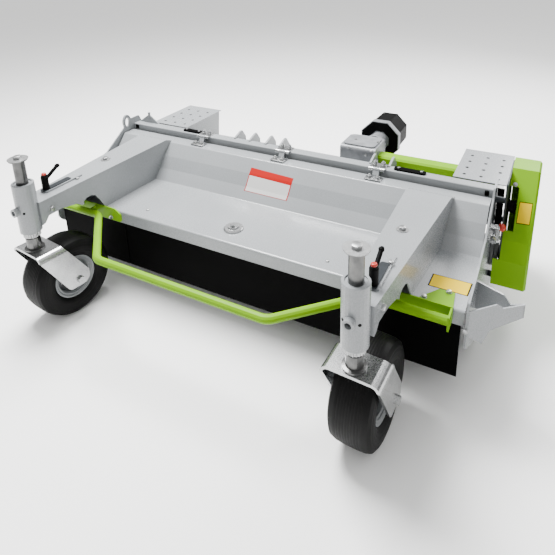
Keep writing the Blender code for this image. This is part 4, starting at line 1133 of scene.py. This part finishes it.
@dataclass
class SideHardware:
    """Bolts on the side plates and the roller brackets, and near-black discs in the steps' holes that paint
    the shade below them.
    """

    fitter: Fitter
    plate_bolts: tuple[Pixel, ...] = ((480, 235), (478, 292), (465, 331))
    bracket_shares: tuple[tuple[float, float], ...] = ((0.28, 0.86), (0.28, 0.6))
    left_shares: tuple[tuple[float, float], ...] = ((0.30, 0.60), (0.16, 0.42), (0.12, 0.25), (0.62, 0.70),
                                                    (0.84, 0.56))
    hole_radius: float = 6.4 * MM
    hole_pitch: tuple[float, float] = (58.7 * MM, 60.7 * MM)
    hole_middle: float = 128 * MM
    hole_depth: float = 0.6 * MM
    hole_shade_height: float = 2.2 * MM

    def step_hole_shades(self, side: str) -> Piece:
        """Models near-black discs just under the top of one step plate's holes: painted shade that stands
        in for the dark space below them.

        Args:
            side: left or right.

        Returns:
            The discs as one piece.
        """
        node = f"step_{side}"
        low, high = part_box(node)
        middle_x, middle_y = (low.x + high.x) / 2, low.y + self.hole_middle
        hole_shades = []
        for column in (-1, 0, 1):
            for row in (-1.5, -0.5, 0.5, 1.5):
                hole_shade = turned_blank(self.hole_radius, -self.hole_shade_height, 0, 20, chamfer=0.3 * MM)
                place = Vector((middle_x + column * self.hole_pitch[0],
                                middle_y + row * self.hole_pitch[1], high.z - self.hole_depth))
                hole_shade.data.transform(Matrix.Translation(place))
                hole_shades.append(hole_shade)
        # Painted shade: near-black discs that make the step holes read dark.
        made = Coat.PAINTED_HOLE_SHADE.dress(smooth(join(hole_shades, f"step_hole_shades_{side}")))
        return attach(made, self.fitter.frame.body_of(node))

    def build(self) -> None:
        """Seats them all."""
        fitter, frame = self.fitter, self.fitter.frame
        fitter.fit_at("right_plate_bolts", Fastener.BOLT_M8, "side_plate_right", self.plate_bolts)
        left = "side_plate_left"
        seats = [frame.seat(left, frame.corner(left, (0, y, z)) - RIGHT * CLEAR, RIGHT)
                 for y, z in self.left_shares]
        fitter.fit("left_plate_bolts", Fastener.BOLT_M8, left, seats)
        for side, way in zip(SIDES, (RIGHT, -RIGHT)):
            self.step_hole_shades(side)
            node = f"roller_bracket_{side}"
            outer = 0.0 if side == "left" else 1.0
            seats = [frame.seat(node, frame.corner(node, (outer, y, z)) - way * CLEAR, way)
                     for y, z in self.bracket_shares]
            fitter.fit(f"roller_bracket_bolts_{side}", Fastener.BOLT_M12, node, seats)
            axle, _ = frame.joint("roller_spin")
            start = Vector((frame.corner(node, (outer, 0, 0)).x, axle.y, axle.z)) - way * CLEAR
            fitter.fit(f"roller_axle_nut_{side}", Fastener.NUT_M10, node, [frame.seat(node, start, way)])


@dataclass
class BlankPlate:
    """A vinyl plate without wording, laid on a solid at four corners."""

    fitter: Fitter
    name: str
    node: str
    coat: Coat
    corners: tuple[Pixel, ...]
    thickness: float = 0.5 * MM
    drop: float = 40 * MM
    cuts: int = 15

    def build(self) -> Piece | None:
        """Lays the plate; its corners run from the lower left, counter-clockwise as it is read."""
        seats = self.fitter.by_pixel(self.node, self.corners)
        if len(seats) < 4:
            return None
        outward = sum((seat.outward for seat in seats), Vector()).normalized()
        clear_selection()
        bpy.ops.mesh.primitive_plane_add(size=1)
        made = bpy.context.object
        order = (0, 1, 3, 2)
        for vertex, k in zip(made.data.vertices, order):
            vertex.co = seats[k].place + outward * self.thickness
        edit_all()
        bpy.ops.mesh.subdivide(number_cuts=self.cuts)
        close_edit()
        for vertex in made.data.vertices:
            seat = self.fitter.frame.seat(self.node, vertex.co + outward * self.drop, -outward)
            vertex.co = seat.place + outward * self.thickness if seat else vertex.co
        if made.data.polygons[0].normal.dot(outward) < 0:
            made.data.flip_normals()
        made.name = self.name
        wall = made.modifiers.new("wall", "SOLIDIFY")
        wall.thickness = self.thickness
        wall.offset = -1
        bpy.ops.object.modifier_apply(modifier=wall.name)
        self.coat.dress(made)
        LOG.info("%s on %s", self.name, self.node)
        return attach(made, self.fitter.frame.body_of(self.node))


@dataclass
class Plates:
    """All the blank plates on the mower."""

    fitter: Fitter
    slope: tuple[Pixel, ...] = ((244, 190.5), (286.5, 201), (293.5, 178.5), (251.5, 167.5))
    pan: tuple[Pixel, ...] = ((427.5, 285), (468, 296.5), (473, 284), (433, 273.5))
    belt_cover: tuple[Pixel, ...] = ((516, 223.5), (529.5, 225.5), (533, 203.5), (519.8, 201.5))
    shaft_cover: tuple[Pixel, ...] = ((430, 163.5), (456, 167.5), (457, 163.8), (432, 160))

    def build(self) -> None:
        """Lays each plate where the photograph has one."""
        for name, node, coat, corners in (
                ("plate_on_slope", "front_hood", Coat.RED_PLATE, self.slope),
                ("plate_on_pan", "front_hood", Coat.YELLOW_PLATE, self.pan),
                ("plate_on_belt_cover", "belt_cover", Coat.YELLOW_PLATE, self.belt_cover),
                ("plate_on_shaft_cover", "shaft_cover", Coat.WHITE_PLATE, self.shaft_cover)):
            BlankPlate(self.fitter, name, node, coat, corners).build()


@dataclass
class Studio:
    """The floor, the soft lights and the camera."""

    sight: Sight
    floor_size: float = 60.0
    floor_colour: str = "#fbfbfa"
    world_strength: float = 1.35
    horizon_share: float = 0.1
    full_height: float = 0.8
    target: tuple[float, float, float] = (0, 0, 0.3)
    # Each light's place, its size in metres and its power in watts.
    key: tuple[tuple[float, float, float], float, float] = ((-1.1, 0.4, 3.4), 1.6, 460)
    rear: tuple[tuple[float, float, float], float, float] = ((1.2, 3.0, 2.4), 1.4, 120)

    def floor(self) -> Piece:
        """Lays a plain pale floor."""
        clear_selection()
        bpy.ops.mesh.primitive_plane_add(size=self.floor_size)
        made = bpy.context.object
        made.name = "studio_floor"
        paper = Finish("studio_paper", self.floor_colour, self.floor_colour, (0.85, 0.95), relief_mm=0.0)
        made.data.materials.append(paper.material())
        return made

    def light(self, name: str, place: tuple[float, float, float], size: float,
              power: float) -> Piece:
        """Hangs a square soft light that faces the mower.

        Args:
            name: its name.
            place: where it hangs.
            size: its width in metres.
            power: its power in watts.

        Returns:
            The light.
        """
        bpy.ops.object.light_add(type="AREA", location=place)
        made = bpy.context.object
        made.name = name
        made.data.size = size
        made.data.energy = power
        made.rotation_euler = (Vector(self.target) - Vector(place)).to_track_quat("-Z", "Y").to_euler()
        return made

    def build(self) -> None:
        """Sets up all of it."""
        world = bpy.data.worlds.new("studio")
        bpy.context.scene.world = world
        world.use_nodes = True
        tree = world.node_tree
        height = add_node(tree, "ShaderNodeSeparateXYZ", None,
                          {0: add_node(tree, "ShaderNodeTexCoord").outputs["Generated"]}).outputs["Z"]
        dome = remapped(tree, height, (0.0, self.full_height),
                        (self.horizon_share * self.world_strength, self.world_strength))
        tree.links.new(dome, tree.nodes["Background"].inputs["Strength"])
        tree.nodes["Background"].inputs["Color"].default_value = linear("#ffffff")
        key, rear = self.light("key_light", *self.key), self.light("rear_light", *self.rear)
        self.floor()
        self.sight.camera()


def main() -> None:
    """Builds the dressed mower and logs each piece."""
    logging.basicConfig(level=logging.INFO, format="%(name)s: %(message)s")
    frame = Frame(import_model())
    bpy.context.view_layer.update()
    sight = Sight()
    fitter = Fitter(frame, sight)
    CarriedSolids(frame).dress()
    for side in SIDES:
        CasterTyre(frame, side).build()
        CasterHardware(fitter, side).build()
    HoodHardware(fitter).build()
    HingeHardware(fitter).build()
    DriveHardware(fitter).build()
    SideHardware(fitter).build()
    Plates(fitter).build()
    fitter.put_away()
    Studio(sight).build()


if __name__ == "__main__":
    main()
